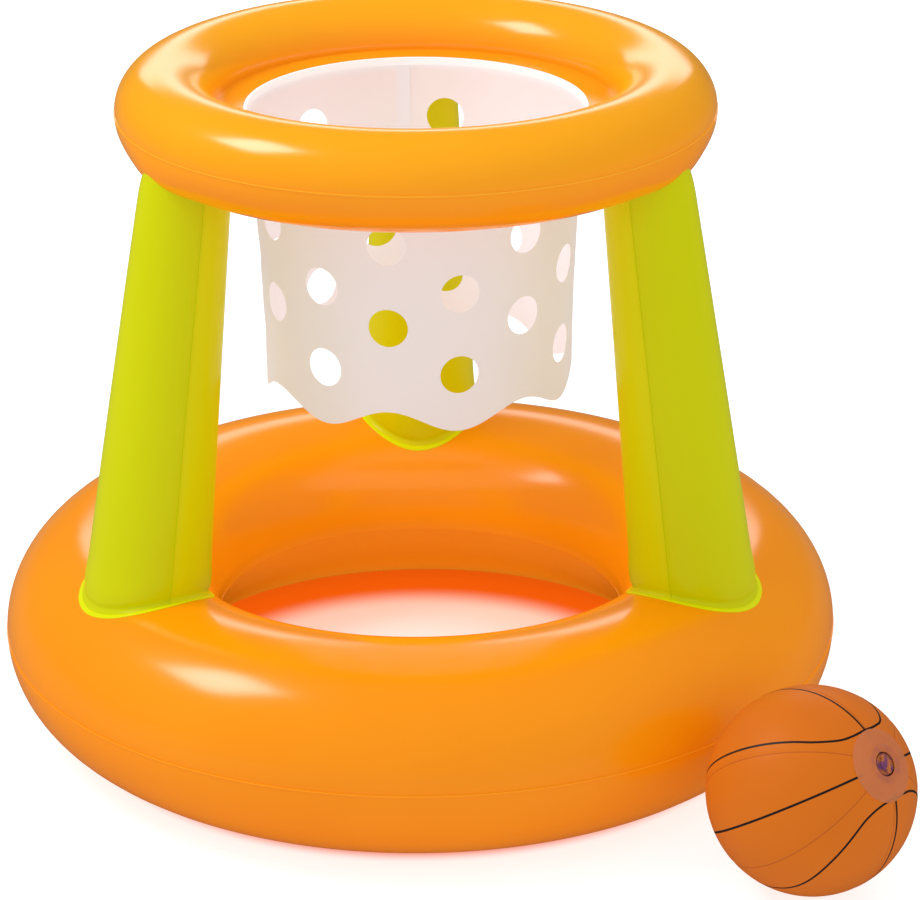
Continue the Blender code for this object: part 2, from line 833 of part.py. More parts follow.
def stand_on_origin(root):
    """Moves the whole set so that the origin lies on the ground under the middle of its box."""
    bpy.context.view_layer.update()
    corners = []
    for obj in bpy.context.scene.objects:
        if obj.type == "MESH" and not obj.hide_render:
            corners += [obj.matrix_world @ vertex.co for vertex in obj.data.vertices]
    lowest = [min(corner[axis] for corner in corners) for axis in range(3)]
    highest = [max(corner[axis] for corner in corners) for axis in range(3)]
    root.location.x -= (lowest[0] + highest[0]) / 2
    root.location.y -= (lowest[1] + highest[1]) / 2


def main():
    clear_scene()
    materials = make_materials()
    hoop_axis = add_empty("hoop_axis")
    base_upper = add_base_ring(materials, hoop_axis)
    hoop_upper = add_hoop_ring(materials, hoop_axis)
    for number, name in enumerate(("post_rear", "post_left", "post_right")[:post_count]):
        azimuth = math.pi / 2 + 2 * math.pi / post_count * number
        add_post(name, azimuth, base_upper, materials, hoop_axis)
    add_net(materials, hoop_axis)
    add_ring_valve(
        "base", BASE, base_section_steps, base_around, base_valve_facet, base_upper, materials["clear"], hoop_axis
    )
    add_ring_valve(
        "hoop", HOOP, hoop_section_steps, hoop_around, hoop_valve_facet, hoop_upper, materials["clear"], hoop_axis
    )
    ball_middle = add_empty("ball_middle", hoop_axis, ball_place())
    add_ball(materials, ball_middle)
    add_valve("ball", add_empty("ball_valve_seat", ball_middle, ball_valve_place()), materials["clear"])
    stand_on_origin(hoop_axis)


main()
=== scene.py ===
"""Dresses the floating basketball hoop and its ball for a picture.

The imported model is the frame. Each operator builds one piece, or a group of like pieces, as soft welded
vinyl: the two rings, the three posts, the punched net, the ball and the push-in valves. The last one sets
the stage.
Lengths are in metres, +Z is up and -Y is the front.
"""

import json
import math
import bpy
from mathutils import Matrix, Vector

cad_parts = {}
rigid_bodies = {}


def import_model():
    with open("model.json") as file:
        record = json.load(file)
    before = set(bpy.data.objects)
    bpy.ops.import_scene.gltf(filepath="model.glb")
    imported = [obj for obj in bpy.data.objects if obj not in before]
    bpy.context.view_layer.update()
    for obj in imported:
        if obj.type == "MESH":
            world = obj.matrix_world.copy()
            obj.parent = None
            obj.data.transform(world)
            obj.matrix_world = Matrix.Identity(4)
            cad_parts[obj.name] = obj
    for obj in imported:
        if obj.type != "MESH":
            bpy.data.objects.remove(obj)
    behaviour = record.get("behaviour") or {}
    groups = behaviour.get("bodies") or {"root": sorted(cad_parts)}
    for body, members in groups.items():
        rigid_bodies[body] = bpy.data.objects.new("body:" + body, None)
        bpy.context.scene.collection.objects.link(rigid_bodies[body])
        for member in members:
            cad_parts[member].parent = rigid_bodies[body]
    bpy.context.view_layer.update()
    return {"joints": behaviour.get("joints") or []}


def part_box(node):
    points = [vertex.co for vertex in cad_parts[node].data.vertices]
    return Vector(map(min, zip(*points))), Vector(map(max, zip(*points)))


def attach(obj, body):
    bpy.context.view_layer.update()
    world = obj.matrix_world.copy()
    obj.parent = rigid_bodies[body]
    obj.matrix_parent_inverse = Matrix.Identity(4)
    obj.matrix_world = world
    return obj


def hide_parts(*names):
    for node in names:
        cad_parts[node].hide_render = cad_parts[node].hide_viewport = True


bl_info = {
    "name": "Floating Hoop Dressing",
    "version": (1, 0, 0),
    "blender": (4, 5, 0),
    "location": "3D View > Sidebar > Pool Hoop",
    "description": "Builds the vinyl skins, net, ball, valves and studio of a floating basketball hoop",
    "category": "Object",
}

import bpy
import numpy as np
from bpy.props import FloatProperty, FloatVectorProperty, IntProperty, PointerProperty
from mathutils import Matrix, Vector
from mathutils.bvhtree import BVHTree
from mathutils.geometry import delaunay_2d_cdt

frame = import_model()

MM = 0.001
TAU = 2 * math.pi


# What the frame gives


def joint_named(name):
    for joint in frame["joints"]:
        if joint["name"] == name:
            return joint
    raise KeyError(f"the frame has no joint named {name}")


def ring_middle():
    """The point on the ground under the middle of both rings."""
    low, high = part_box("base_upper_panel")
    return Vector(((low[0] + high[0]) / 2, (low[1] + high[1]) / 2, 0))


def frame_of(origin, along, out):
    """A frame with its X along a direction and its Z out of a face."""
    side = out.cross(along).normalized()
    place = Matrix((along, side, out)).transposed().to_4x4()
    place.translation = origin
    return place


RING_PLACE = Matrix.Translation(ring_middle())


# Settings


def length(name, description, default):
    kind = {"subtype": "DISTANCE", "unit": "LENGTH"}
    return FloatProperty(name=name, description=description, default=default, **kind)


def number(name, description, default):
    return FloatProperty(name=name, description=description, default=default)


def count(name, description, default):
    return IntProperty(name=name, description=description, default=default, min=1)


def turn(name, description, degrees):
    kind = {"subtype": "ANGLE", "unit": "ROTATION"}
    return FloatProperty(name=name, description=description, default=math.radians(degrees), **kind)


def colour(name, description, default):
    kind = {"subtype": "COLOR", "size": 3, "min": 0.0, "max": 1.0}
    return FloatVectorProperty(name=name, description=description, default=default, **kind)


class WeldedSheet:
    """What the sheets of the rings and the posts have in common."""

    sheet: length("Sheet", "Thickness of the vinyl sheet", 0.4 * MM)
    weld_gap: length("Weld gap", "Gap between the two sheets in a weld", 0.04 * MM)
    across: count("Steps across", "Faces across one sheet", 56)


class RingSeams(WeldedSheet):
    """What both rings' welds have in common."""

    weld_lip: length("Weld lip", "How far the outer weld stands proud of the wall", 0.4 * MM)
    pinch: length("Pinch", "How far the outer weld draws the wall in", 0.4 * MM)
    inner_pinch: length("Inner pinch", "How far the inner weld draws the wall in", 0.12 * MM)
    pinch_reach: length("Pinch reach", "How far from a weld the wall is drawn in", 4 * MM)
    pucker: length("Pucker", "Height of the small puckers along a weld", 0.16 * MM)
    pucker_reach: length("Pucker reach", "How far the puckers run from a weld", 7 * MM)
    around: count("Steps around", "Faces round the ring", 300)

    def centre_radius(self):
        """Distance of the tube's middle from the rings' axis."""
        return self.outer_radius - self.half_width


class PH_BaseRingSettings(RingSeams, bpy.types.PropertyGroup):
    outer_radius: length("Outer radius", "Radius of the base ring at its outer weld", 335 * MM)
    half_width: length("Half width", "Half the width of the tube", 85.5 * MM)
    half_height: length("Half height", "Half the height of the tube before its sole is flattened", 80 * MM)
    sole_half_width: length("Sole half width", "Half the width that rests on the ground", 14 * MM)
    inner_lip: length("Inner lip", "How far the inner weld stands proud", 0.1 * MM)
    undercut: number("Undercut", "How flat the inner wall runs in under the tube, from 0 to 1", 0.4)
    # Painted light and shade: the top colour is lighter where light falls on the top, the low colour darker
    # where shade falls low down.
    lit_top_colour: colour("Top colour", "Colour of the vinyl towards its top", (0.94, 0.285, 0.001))
    shaded_low_colour: colour("Low colour", "Colour of the vinyl towards the ground", (0.90, 0.23, 0.001))
    # Painted light: the colour round the hole is lighter, to make up for the shade that falls there.
    wall_colour: colour("Wall colour", "Colour of the vinyl round the hole", (0.95, 0.31, 0.004))
    # Painted highlight: the pale line along the outer weld stands for light on the weld's top.
    weld_highlight_colour: colour("Weld colour", "Colour of the pressed outer weld", (0.96, 0.34, 0.01))

    def centre_height(self):
        """Height of the tube's middle, with its sole on the ground."""
        return self.half_height * math.cos(math.asin(self.sole_half_width / self.half_width))


class PH_HoopRingSettings(RingSeams, bpy.types.PropertyGroup):
    outer_radius: length("Outer radius", "Radius of the hoop ring at its outer weld", 232.5 * MM)
    half_width: length("Half width", "Half the width of the tube", 38.5 * MM)
    half_height: length("Half height", "Half the height of the tube", 37.5 * MM)
    top: length("Top", "Height of the top of the hoop", 542.5 * MM)
    inner_lip: length("Inner lip", "Width of the lip that the net is welded under", 22.2 * MM)
    lip_wave: length("Lip wave", "Height of the soft waves in the inner lip", 0.5 * MM)
    bulge: length("Bulge", "How far the wall swells out over the top of each post", 4.5 * MM)
    # Painted light and shade: the top colour is lighter where light falls on the top, the low colour darker
    # where shade falls low down.
    lit_top_colour: colour("Top colour", "Colour of the vinyl towards its top", (0.95, 0.37, 0.004))
    shaded_low_colour: colour("Low colour", "Colour of the vinyl towards the underside", (0.91, 0.25, 0.003))
    # Painted light: the colour round the hole is lighter, to make up for the shade that falls there.
    wall_colour: colour("Wall colour", "Colour of the vinyl round the hole", (0.92, 0.29, 0.006))
    # Painted highlight: the pale line along the outer weld stands for light on the weld's top.
    weld_highlight_colour: colour("Weld colour", "Colour of the pressed outer weld", (0.96, 0.42, 0.02))

    def centre_height(self):
        """Height of the tube's middle."""
        return self.top - self.half_height


class PH_PostSettings(WeldedSheet, bpy.types.PropertyGroup):
    foot_radius: length("Foot radius", "Radius of a post where it stands on the base ring", 49 * MM)
    foot_shift: length("Foot shift", "How far out from the tube's crest the foot stands", -4 * MM)
    top_radius: length("Top radius", "Radius of a post under the hoop ring", 33.5 * MM)
    top_shift: length("Top shift", "How far out from the hoop tube's lowest line the top stands", 4.6 * MM)
    seam_angle: turn("Seam angle", "Angle of the side welds from straight outwards", 86)
    weld_lip: length("Weld lip", "How far a side weld stands proud", 0.35 * MM)
    pinch: length("Pinch", "How far a side weld draws the wall in", 0.35 * MM)
    pinch_reach: length("Pinch reach", "How far from a side weld the wall is drawn in", 3 * MM)
    foot_rim: length("Foot rim", "Width of the weld rim round a foot", 3.8 * MM)
    top_neck: length("Top neck", "How far a post draws in where it meets the hoop", 1.2 * MM)
    neck_reach: length("Neck reach", "How far down a post draws in", 11 * MM)
    top_rim: length("Top rim", "Width of the weld rim round a top", 0.8 * MM)
    rim_tuck: length("Rim tuck", "How far a rim runs in under the wall", 4 * MM)
    rim_thickness: length("Rim thickness", "Thickness of a weld rim", 0.9 * MM)
    bow: length("Bow", "How far a post bows outwards at half its height", 0.4 * MM)
    rows: count("Rows", "Faces up a post", 64)
    wall_colour: colour("Wall colour", "Colour of the posts' outer sheets", (0.565, 0.58, 0.0))
    # Painted light: the inner sheets are the same lime, painted lighter to make up for the shade inside.
    lifted_inner_colour: colour("Inner colour", "Colour of the posts' inner sheets", (0.64, 0.61, 0.0))
    # Painted light: the foot rims are the same lime, painted lighter where light catches them.
    lit_rim_colour: colour("Rim colour", "Colour of the brighter weld rims", (0.70, 0.74, 0.0))


class PH_NetSettings(bpy.types.PropertyGroup):
    columns: count("Columns", "Upright columns of holes round the net", 14)
    lap_azimuth: turn("Lap azimuth", "Where the net's ends lap, from +X", 92.2)
    rim_radius: length("Rim radius", "Radius of the net at its top", 131.5 * MM)
    hem_radius: length("Hem radius", "Radius of the net at its hem", 120.8 * MM)
    taper_power: number("Taper power", "How soon the net narrows below its rim", 1.7)
    drop: length("Length", "Height of the net", 217 * MM)
    hem_wave: length("Hem wave", "How far the hem dips and rises", 8.5 * MM)
    hole_radius: length("Hole radius", "Radius of a punched hole", 15.2 * MM)
    hole_pitch: length("Hole pitch", "Distance between holes down a column", 66 * MM)
    long_first: length("Long column start", "Depth of the first of three holes", 47.5 * MM)
    short_first: length("Short column start", "Depth of the first of two holes", 74 * MM)
    lap: length("Lap", "Width of the lap weld", 10 * MM)
    lap_ramp: length("Lap ramp", "Width over which the outer end rises over the inner", 26 * MM)
    sheet: length("Sheet", "Thickness of the net's vinyl", 0.4 * MM)
    fold: length("Fold", "Depth of the upright folds at the hem", 1.6 * MM)
    band: length("Band", "Height of the double rim at the top", 5.5 * MM)
    hole_sides: count("Hole sides", "Edges round a hole", 44)
    net_colour: colour("Net colour", "Colour of the net's outer side", (0.89, 0.88, 0.88))
    # Painted light: the inner side is painted lighter, to lift the shade inside the net.
    lifted_net_inner_colour: colour("Net inner colour", "Colour of the net's inner side", (0.97, 0.96, 0.98))
    band_colour: colour("Band colour", "Colour of the double rim", (0.97, 0.96, 0.96))


class PH_BallSettings(bpy.types.PropertyGroup):
    radius: length("Radius", "Radius of the ball", 77.5 * MM)
    sheet: length("Sheet", "Thickness of the ball's vinyl", 0.3 * MM)
    gores: count("Gores", "Sheets that the ball is welded from", 6)
    seam_turn: turn("Seam turn", "Where the first gore weld runs", 54)
    seam_groove: length("Seam groove", "Depth of the groove along a gore weld", 0.28 * MM)
    seam_reach: length("Seam reach", "How far from a gore weld the wall is drawn in", 1.6 * MM)
    patch_radius: length("Patch radius", "Radius of the round patches at the poles", 27.4 * MM)
    patch_thickness: length("Patch thickness", "Thickness of the round patches", 0.4 * MM)
    hole_radius: length("Hole radius", "Radius of the hole that the valve sits in", 9.2 * MM)
    line_width: length("Line width", "Width of a printed line", 1.7 * MM)
    ball_colour: colour("Ball colour", "Colour of the ball", (0.74, 0.175, 0.008))
    patch_colour: colour("Patch colour", "Colour of the patches", (0.88, 0.29, 0.10))
    line_colour: colour("Line colour", "Colour of the printed lines", (0.012, 0.010, 0.010))
    seam_colour: colour("Seam colour", "Colour of the gore welds", (0.42, 0.075, 0.015))


class PH_ValveSettings(bpy.types.PropertyGroup):
    hinge_reach: length("Hinge reach", "How far the plug's hinge lies from the middle", 7 * MM)
    hinge_height: length("Hinge height", "Height of the plug's hinge over the seat", 0.35 * MM)
    sleeve_radius: length("Sleeve radius", "Inner radius of the welded sleeve", 8.3 * MM)
    sleeve_wall: length("Sleeve wall", "Wall of the sleeve", 0.6 * MM)
    sleeve_depth: length("Sleeve depth", "How deep the sleeve reaches", 13 * MM)
    flange_radius: length("Flange radius", "Radius of the flange welded to the sheet", 14.5 * MM)
    collar_radius: length("Collar radius", "Radius of the stem's collar", 8 * MM)
    bore_radius: length("Bore radius", "Radius of the air way", 3.3 * MM)
    tube_radius: length("Tube radius", "Radius of the stem's tube", 5.5 * MM)
    cap_radius: length("Cap radius", "Radius of the plug's cap", 4.8 * MM)
    clear_colour: colour("Colour", "Colour of the clear vinyl", (0.30, 0.10, 0.26))
    # Painted reflection: the orange that the sheet behind would show through the clear vinyl, painted in
    # blotches.
    painted_refraction_colour: colour("Warm colour", "Colour that the sheet behind lends it", (0.80, 0.24, 0.06))

    def seat(self, name):
        """The frame of a valve's seat: Z out of it and Y along the plug's hinge."""
        out = Vector(joint_named(f"{name}_stem_slide")["axis"]).normalized()
        hinge = joint_named(f"{name}_plug_hinge")
        side = Vector(hinge["axis"]).normalized()
        along = side.cross(out).normalized()
        origin = Vector(hinge["pos_m"]) - along * self.hinge_reach - out * self.hinge_height
        return frame_of(origin, along, out)


class PH_StageSettings(bpy.types.PropertyGroup):
    floor_size: length("Floor size", "Side of the floor", 16.0)
    floor_colour: colour("Floor colour", "Colour of the floor", (0.50, 0.50, 0.50))
    floor_lift: number("Floor lift", "How strongly the lit floor glows by itself", 0.78)
    # Painted light: inside the ring the floor is painted with an orange glow and a pink blush, standing for
    # light through the base ring's vinyl.
    painted_glow_colour: colour("Glow colour", "Colour of the floor by the ring's inside", (0.77, 0.12, 0.003))
    painted_blush_colour: colour("Blush colour", "Colour of the floor further in", (0.92, 0.62, 0.50))
    painted_middle_colour: colour("Middle colour", "Colour of the floor in the middle", (0.93, 0.76, 0.70))
    sky: number("Sky", "Strength of the soft light from all round", 0.80)
    gleam: number("Gleam", "Strength of the surroundings as glossy vinyl mirrors them", 0.07)
    key_power: number("Key power", "Watts of the large lamp on the left", 21)
    back_power: number("Back power", "Watts of the low panel behind", 8)
    key_size: length("Key size", "Side of the large lamp", 0.85)
    focal_length: number("Focal length", "Millimetres on a 36 mm wide frame", 141.36)
    distance: length("Distance", "From the camera to the middle of the hoop", 2.89048)
    elevation: turn("Elevation", "How far the camera looks down", 21.302)
    roll: turn("Roll", "How far the camera is turned about its own axis", -0.519)
    aim_height: length("Aim height", "Height of the point that the camera stands back from", 0.25)
    aim_right: length("Aim right", "How far right of that point the camera aims", 33.65 * MM)
    aim_down: length("Aim down", "How far below that point the camera aims", 30.37 * MM)


# Shader nodes as Python expressions


class Wire:
    """An output socket of a node. Arithmetic on it adds Math nodes."""

    def __init__(self, nodes, socket):
        self.nodes = nodes
        self.socket = socket

    def math(self, operation, *terms):
        return self.nodes.add("ShaderNodeMath", {"operation": operation}, dict(enumerate(terms)))

    def __add__(self, other):
        return self.math("ADD", self, other)

    def __radd__(self, other):
        return self.math("ADD", other, self)

    def __sub__(self, other):
        return self.math("SUBTRACT", self, other)

    def __rsub__(self, other):
        return self.math("SUBTRACT", other, self)

    def __mul__(self, other):
        return self.math("MULTIPLY", self, other)

    def __rmul__(self, other):
        return self.math("MULTIPLY", other, self)

    def __truediv__(self, other):
        return self.math("DIVIDE", self, other)

    def __rtruediv__(self, other):
        return self.math("DIVIDE", other, self)

    def __abs__(self):
        return self.math("ABSOLUTE", self)

    def sine(self):
        return self.math("SINE", self)

    def root(self):
        return self.math("SQRT", self)

    def angle_over(self, other):
        return self.math("ARCTAN2", self, other)

    def nearest(self):
        return self.math("ROUND", self)

    def step(self, start, end):
        """0 below start and 1 above end, with a smooth rise between. It falls where start is above end."""
        inputs = {"Value": self, "From Min": start, "From Max": end}
        return self.nodes.add("ShaderNodeMapRange", {"interpolation_type": "SMOOTHSTEP"}, inputs)


class Nodes:
    """A node tree to which nodes are added by type, settings and sockets."""

    def __init__(self, tree):
        self.tree = tree

    def add(self, kind, settings=None, inputs=None, output=0):
        node = self.tree.nodes.new(kind)
        for name, value in (settings or {}).items():
            setattr(node, name, value)
        for key, value in (inputs or {}).items():
            self.feed(node.inputs[key], value)
        return Wire(self, node.outputs[output])

    def feed(self, socket, value):
        if isinstance(value, Wire):
            self.tree.links.new(value.socket, socket)
        elif socket.type == "RGBA":
            socket.default_value = (*value, 1.0)
        else:
            socket.default_value = value

    def mix(self, factor, low, high):
        return self.add("ShaderNodeMix", {"data_type": "RGBA"}, {0: factor, 6: low, 7: high}, output=2)

    def vector(self, operation, first, second, output=0):
        return self.add("ShaderNodeVectorMath", {"operation": operation}, {0: first, 1: second}, output)

    def noise(self, place, scale, detail=2.0):
        return self.add("ShaderNodeTexNoise", None, {"Vector": place, "Scale": scale, "Detail": detail})

    def is_ray(self, kind):
        return self.add("ShaderNodeLightPath", output=f"Is {kind} Ray")

    def by_ray(self, at_large, seen, mirrored):
        """A strength for light at large, for what the camera sees and for what gloss mirrors."""
        camera, glossy = self.is_ray("Camera"), self.is_ray("Glossy")
        return at_large + (seen - at_large) * camera + (mirrored - at_large) * glossy

    def parts(self, place):
        split = self.add("ShaderNodeSeparateXYZ", None, {0: place}).socket.node
        return [Wire(self, socket) for socket in split.outputs]

    def stretched(self, place, scales):
        return self.vector("MULTIPLY", place, scales)

    def within(self, place, frame_matrix):
        """The three coordinates of a place within another frame."""
        offset = self.vector("SUBTRACT", place, tuple(frame_matrix.translation))
        axes = [tuple(frame_matrix.col[axis][:3]) for axis in range(3)]
        return [self.vector("DOT_PRODUCT", offset, axis, output="Value") for axis in axes]


class Finish(Nodes):
    """A material with one Principled shader, whose plain values are set on its own sockets."""

    def __init__(self, name, values):
        self.material = bpy.data.materials.new(name)
        self.material.use_nodes = True
        super().__init__(self.material.node_tree)
        self.shader = self.tree.nodes["Principled BSDF"]
        for socket, value in values.items():
            self.set(socket, value)

    def set(self, socket, value):
        self.feed(self.shader.inputs[socket], value)

    def place(self):
        return self.add("ShaderNodeTexCoord", output="Object")

    def bump(self, height, distance):
        inputs = {"Height": height, "Distance": distance}
        self.set("Normal", self.add("ShaderNodeBump", None, inputs, output="Normal"))

    def show(self, shader_output):
        self.feed(self.tree.nodes["Material Output"].inputs["Surface"], shader_output)


def shade(tint, factor):
    """A colour made lighter or darker."""
    return tuple(min(1.0, channel * factor) for channel in tint)


# Painted light: the bright colour that vinyl glows in where light is painted in, and how strongly all vinyl
# glows by itself to lift its shade.
PAINTED_LIGHT_COLOUR = (2.4, 1.0, 0.05)
PAINTED_VINYL_GLOW = 0.17
BLACK = (0, 0, 0)


def soft_vinyl(name, roughness, gloss, tint_and_painted_light):
    """Inflated vinyl: smooth and softly clouded, with a faint rolled grain, and a painted glow: it glows a
    little by itself, painted light that lifts its shade.

    The function passed in gives its colour, and how far its painted glow takes the bright painted light
    colour.
    """
    # Painted light: every vinyl glows a little by itself.
    finish = Finish(name, {"IOR": 1.5, "Specular IOR Level": gloss, "Emission Strength": PAINTED_VINYL_GLOW})
    place = finish.place()
    clouds = finish.noise(place, scale=7.0, detail=3.0)
    grain = finish.noise(finish.stretched(place, (1.0, 1.0, 0.35)), scale=1500.0, detail=1.0)
    tint, lit = tint_and_painted_light(finish, place)
    tint = finish.mix(clouds, finish.mix(0.05, tint, BLACK), finish.mix(0.04, tint, (1, 1, 0)))
    finish.set("Base Color", tint)
    # Painted light: the vinyl glows in its own colour, and in the bright painted light colour where its colour
    # function says.
    finish.set("Emission Color", finish.mix(lit, tint, PAINTED_LIGHT_COLOUR))
    finish.set("Roughness", roughness + (clouds - 0.5) * 0.06)
    finish.bump(grain, 0.01 * MM)
    return finish.material


def ring_vinyl(name, settings):
    """Orange vinyl with painted light: lighter on top, darker low, lifted and glowing round the hole, a
    painted weld highlight.
    """
    centre, middle, outer = settings.centre_height(), settings.centre_radius(), settings.outer_radius
    wide, tall = settings.half_width, settings.half_height

    def tint_and_painted_light(finish, place):
        x, y, z = finish.within(place, RING_PLACE)
        reach = (x * x + y * y).root()
        # Painted light and shade: lighter towards the top, darker towards the ground.
        high = z.step(centre - 0.8 * tall, centre + 0.9 * tall)
        outside = finish.mix(high, settings.shaded_low_colour, settings.lit_top_colour)
        # Painted light: the lower part of the hole's wall takes the lighter wall colour, lifting its shade.
        inside = reach.step(middle - 0.3 * wide, middle - 0.95 * wide)
        body = finish.mix(inside * (1.0 - high), outside, settings.wall_colour)
        # Painted highlight: a pale line along the outer weld.
        weld = abs(z - centre).step(0.9 * MM, 0.3 * MM) * reach.step(outer - 2 * MM, outer - 0.6 * MM)
        # Painted light: the inner lower wall under the tube glows in the bright painted light colour, lifting
        # the shade there.
        under = reach.step(middle + 2 * MM, middle - 0.35 * wide)
        lit = under * z.step(centre - 0.3 * tall, centre - 0.92 * tall)
        return finish.mix(weld * 0.9, body, settings.weld_highlight_colour), lit

    return soft_vinyl(name, roughness=0.19, gloss=0.6, tint_and_painted_light=tint_and_painted_light)


def plain_vinyl(name, tint):
    return soft_vinyl(name, roughness=0.26, gloss=0.14, tint_and_painted_light=lambda finish, place: (tint, 0.0))


def frosted_vinyl(name, tint, lifted_inner_tint, alpha, spread, painted_glow):
    """Thin frosted sheet: light spreads through it, and what lies close behind shows faintly. It glows a
    little by itself and its inner side is painted lighter: painted light.
    """
    # Painted light: the sheet glows by itself.
    finish = Finish(name, {"IOR": 1.45, "Alpha": alpha, "Emission Strength": painted_glow})
    place = finish.place()
    clouds = finish.noise(finish.stretched(place, (1.0, 1.0, 0.3)), scale=14.0, detail=3.0)
    frost = finish.noise(place, scale=900.0)
    x, y, _ = finish.within(place, RING_PLACE)
    normal_x, normal_y, _ = finish.parts(finish.add("ShaderNodeTexCoord", output="Normal"))
    # Painted light: the inner side takes the lighter inner tint, to lift the shade inside the net.
    outwards = (x * normal_x + y * normal_y).step(-1 * MM, 1 * MM)
    sided = finish.mix(outwards, lifted_inner_tint, tint)
    tinted = finish.mix(clouds, finish.mix(0.03, sided, BLACK), sided)
    finish.set("Base Color", tinted)
    finish.set("Emission Color", tinted)
    finish.set("Roughness", 0.42 + frost * 0.1)
    finish.bump(frost, 0.03 * MM)
    through = finish.add("ShaderNodeBsdfTranslucent", None, {"Color": tinted})
    principled = Wire(finish, finish.shader.outputs[0])
    finish.show(finish.add("ShaderNodeMixShader", None, {0: spread, 1: principled, 2: through}))
    return finish.material


def ball_vinyl(settings, frame_matrix):
    """Satin vinyl with a fine darker weld between each two gores."""
    finish = Finish("ball_vinyl", {"IOR": 1.48, "Specular IOR Level": 0.15})
    place = finish.place()
    x, y, _ = finish.within(place, frame_matrix)
    gore = TAU / settings.gores
    gores_round = (y.angle_over(x) - settings.seam_turn) / gore
    from_seam = abs(gores_round - gores_round.nearest()) * gore * (x * x + y * y).root()
    seam = from_seam.step(0.6 * MM, 0.2 * MM)
    clouds = finish.noise(place, scale=16.0, detail=3.0)
    body = finish.mix(clouds, shade(settings.ball_colour, 0.95), shade(settings.ball_colour, 1.05))
    finish.set("Base Color", finish.mix(seam * 0.6, body, settings.seam_colour))
    finish.set("Roughness", 0.46 + (clouds - 0.5) * 0.06 - seam * 0.06)
    finish.bump(finish.noise(place, scale=1300.0), 0.03 * MM)
    return finish.material


PATCH_RING_PITCH = 2.6 * MM


def ball_patch_vinyl(settings, frame_matrix):
    """A clear-tinted patch with faint rings, through which the printed lines show."""
    finish = Finish("ball_patch_vinyl", {"IOR": 1.5, "Specular IOR Level": 0.4, "Alpha": 0.45})
    place = finish.place()
    x, y, _ = finish.within(place, frame_matrix)
    reach = (x * x + y * y).root()
    rings = (reach * (TAU / PATCH_RING_PITCH)).sine().step(0.2, 0.9)
    clouds = finish.noise(place, scale=30.0)
    tint = finish.mix(clouds, shade(settings.patch_colour, 0.93), shade(settings.patch_colour, 1.07))
    finish.set("Base Color", finish.mix(rings * 0.04, tint, (0.72, 0.36, 0.30)))
    finish.set("Roughness", 0.32 + rings * 0.05)
    finish.bump(rings * 0.3 + finish.noise(place, scale=900.0, detail=1.0) * 0.4, 0.02 * MM)
    return finish.material


def line_ink(settings):
    """Flat black printed ink, a little worn."""
    finish = Finish("line_ink", {"IOR": 1.45})
    wear = finish.noise(finish.place(), scale=500.0, detail=4.0)
    worn = wear.step(0.62, 0.8) * 0.25
    finish.set("Base Color", finish.mix(worn, settings.line_colour, (0.10, 0.03, 0.015)))
    finish.set("Roughness", 0.5 + wear * 0.1)
    finish.bump(wear, 0.01 * MM)
    return finish.material


def clear_vinyl(name, settings, alpha):
    """Clear moulded vinyl of the valves, with warm blotches painted in: a painted refraction of the orange
    sheet behind.
    """
    finish = Finish(name, {"IOR": 1.5, "Specular IOR Level": 0.9, "Alpha": alpha})
    flow = finish.noise(finish.place(), scale=170.0, detail=1.0)
    # Painted reflection: blotches of the orange sheet behind, mixed into the clear colour.
    finish.set("Base Color", finish.mix(flow.step(0.40, 0.62), settings.clear_colour, settings.painted_refraction_colour))
    finish.set("Roughness", 0.06 + flow * 0.06)
    finish.bump(flow, 0.4 * MM)
    return finish.material


# Mesh building

SHARP = 35  # degrees


def unit(vectors):
    return vectors / np.maximum(np.linalg.norm(vectors, axis=-1, keepdims=True), 1e-12)


def tangents(grid, axis, closed):
    """Directions along one way of a grid, each the mean of those of the steps before and after."""
    if closed:
        steps = unit(np.roll(grid, -1, axis) - grid)
        return unit(steps + np.roll(steps, 1, axis))
    steps = unit(np.diff(grid, axis=axis))
    first = np.take(steps, [0], axis)
    last = np.take(steps, [-1], axis)
    return unit(np.concatenate([first, steps], axis) + np.concatenate([steps, last], axis))


def shell(grid, thickness, closed):
    """Points and faces of a sheet whose outer side is a grid of rows and columns. Rows join up if closed.

    It faces the way that a screw moves when it is turned from the way down the rows to the way along one.
    """
    normals = unit(np.cross(tangents(grid, 0, closed), tangents(grid, 1, False)))
    rows, columns = grid.shape[:2]
    points = np.concatenate([grid.reshape(-1, 3), (grid - normals * thickness).reshape(-1, 3)])
    index = np.arange(rows * columns).reshape(rows, columns)
    above, below = (index, np.roll(index, -1, 0)) if closed else (index[:-1], index[1:])
    outer = np.stack([above[:, :-1], below[:, :-1], below[:, 1:], above[:, 1:]], -1).reshape(-1, 4)
    faces = [outer, outer[:, ::-1] + rows * columns]
    rims = [(below[:, 0], above[:, 0]), (above[:, -1], below[:, -1])]
    if not closed:
        rims += [(index[0, :-1], index[0, 1:]), (index[-1, 1:], index[-1, :-1])]
    for ends in rims:
        rim = np.stack(ends, -1)
        faces.append(np.concatenate([rim, rim[:, ::-1] + rows * columns], 1))
    return points, np.concatenate(faces)


def tube(rings, joined):
    """Points and faces of a tube through closed rings of points, joined up or with a face at each end."""
    rows, columns = rings.shape[:2]
    index = np.arange(rows * columns).reshape(rows, columns)
    here, there = (index, np.roll(index, -1, 0)) if joined else (index[:-1], index[1:])
    faces = np.stack([here, there, np.roll(there, -1, 1), np.roll(here, -1, 1)], -1).reshape(-1, 4).tolist()
    if not joined:
        faces += [index[0].tolist(), index[-1][::-1].tolist()]
    return rings.reshape(-1, 3), faces


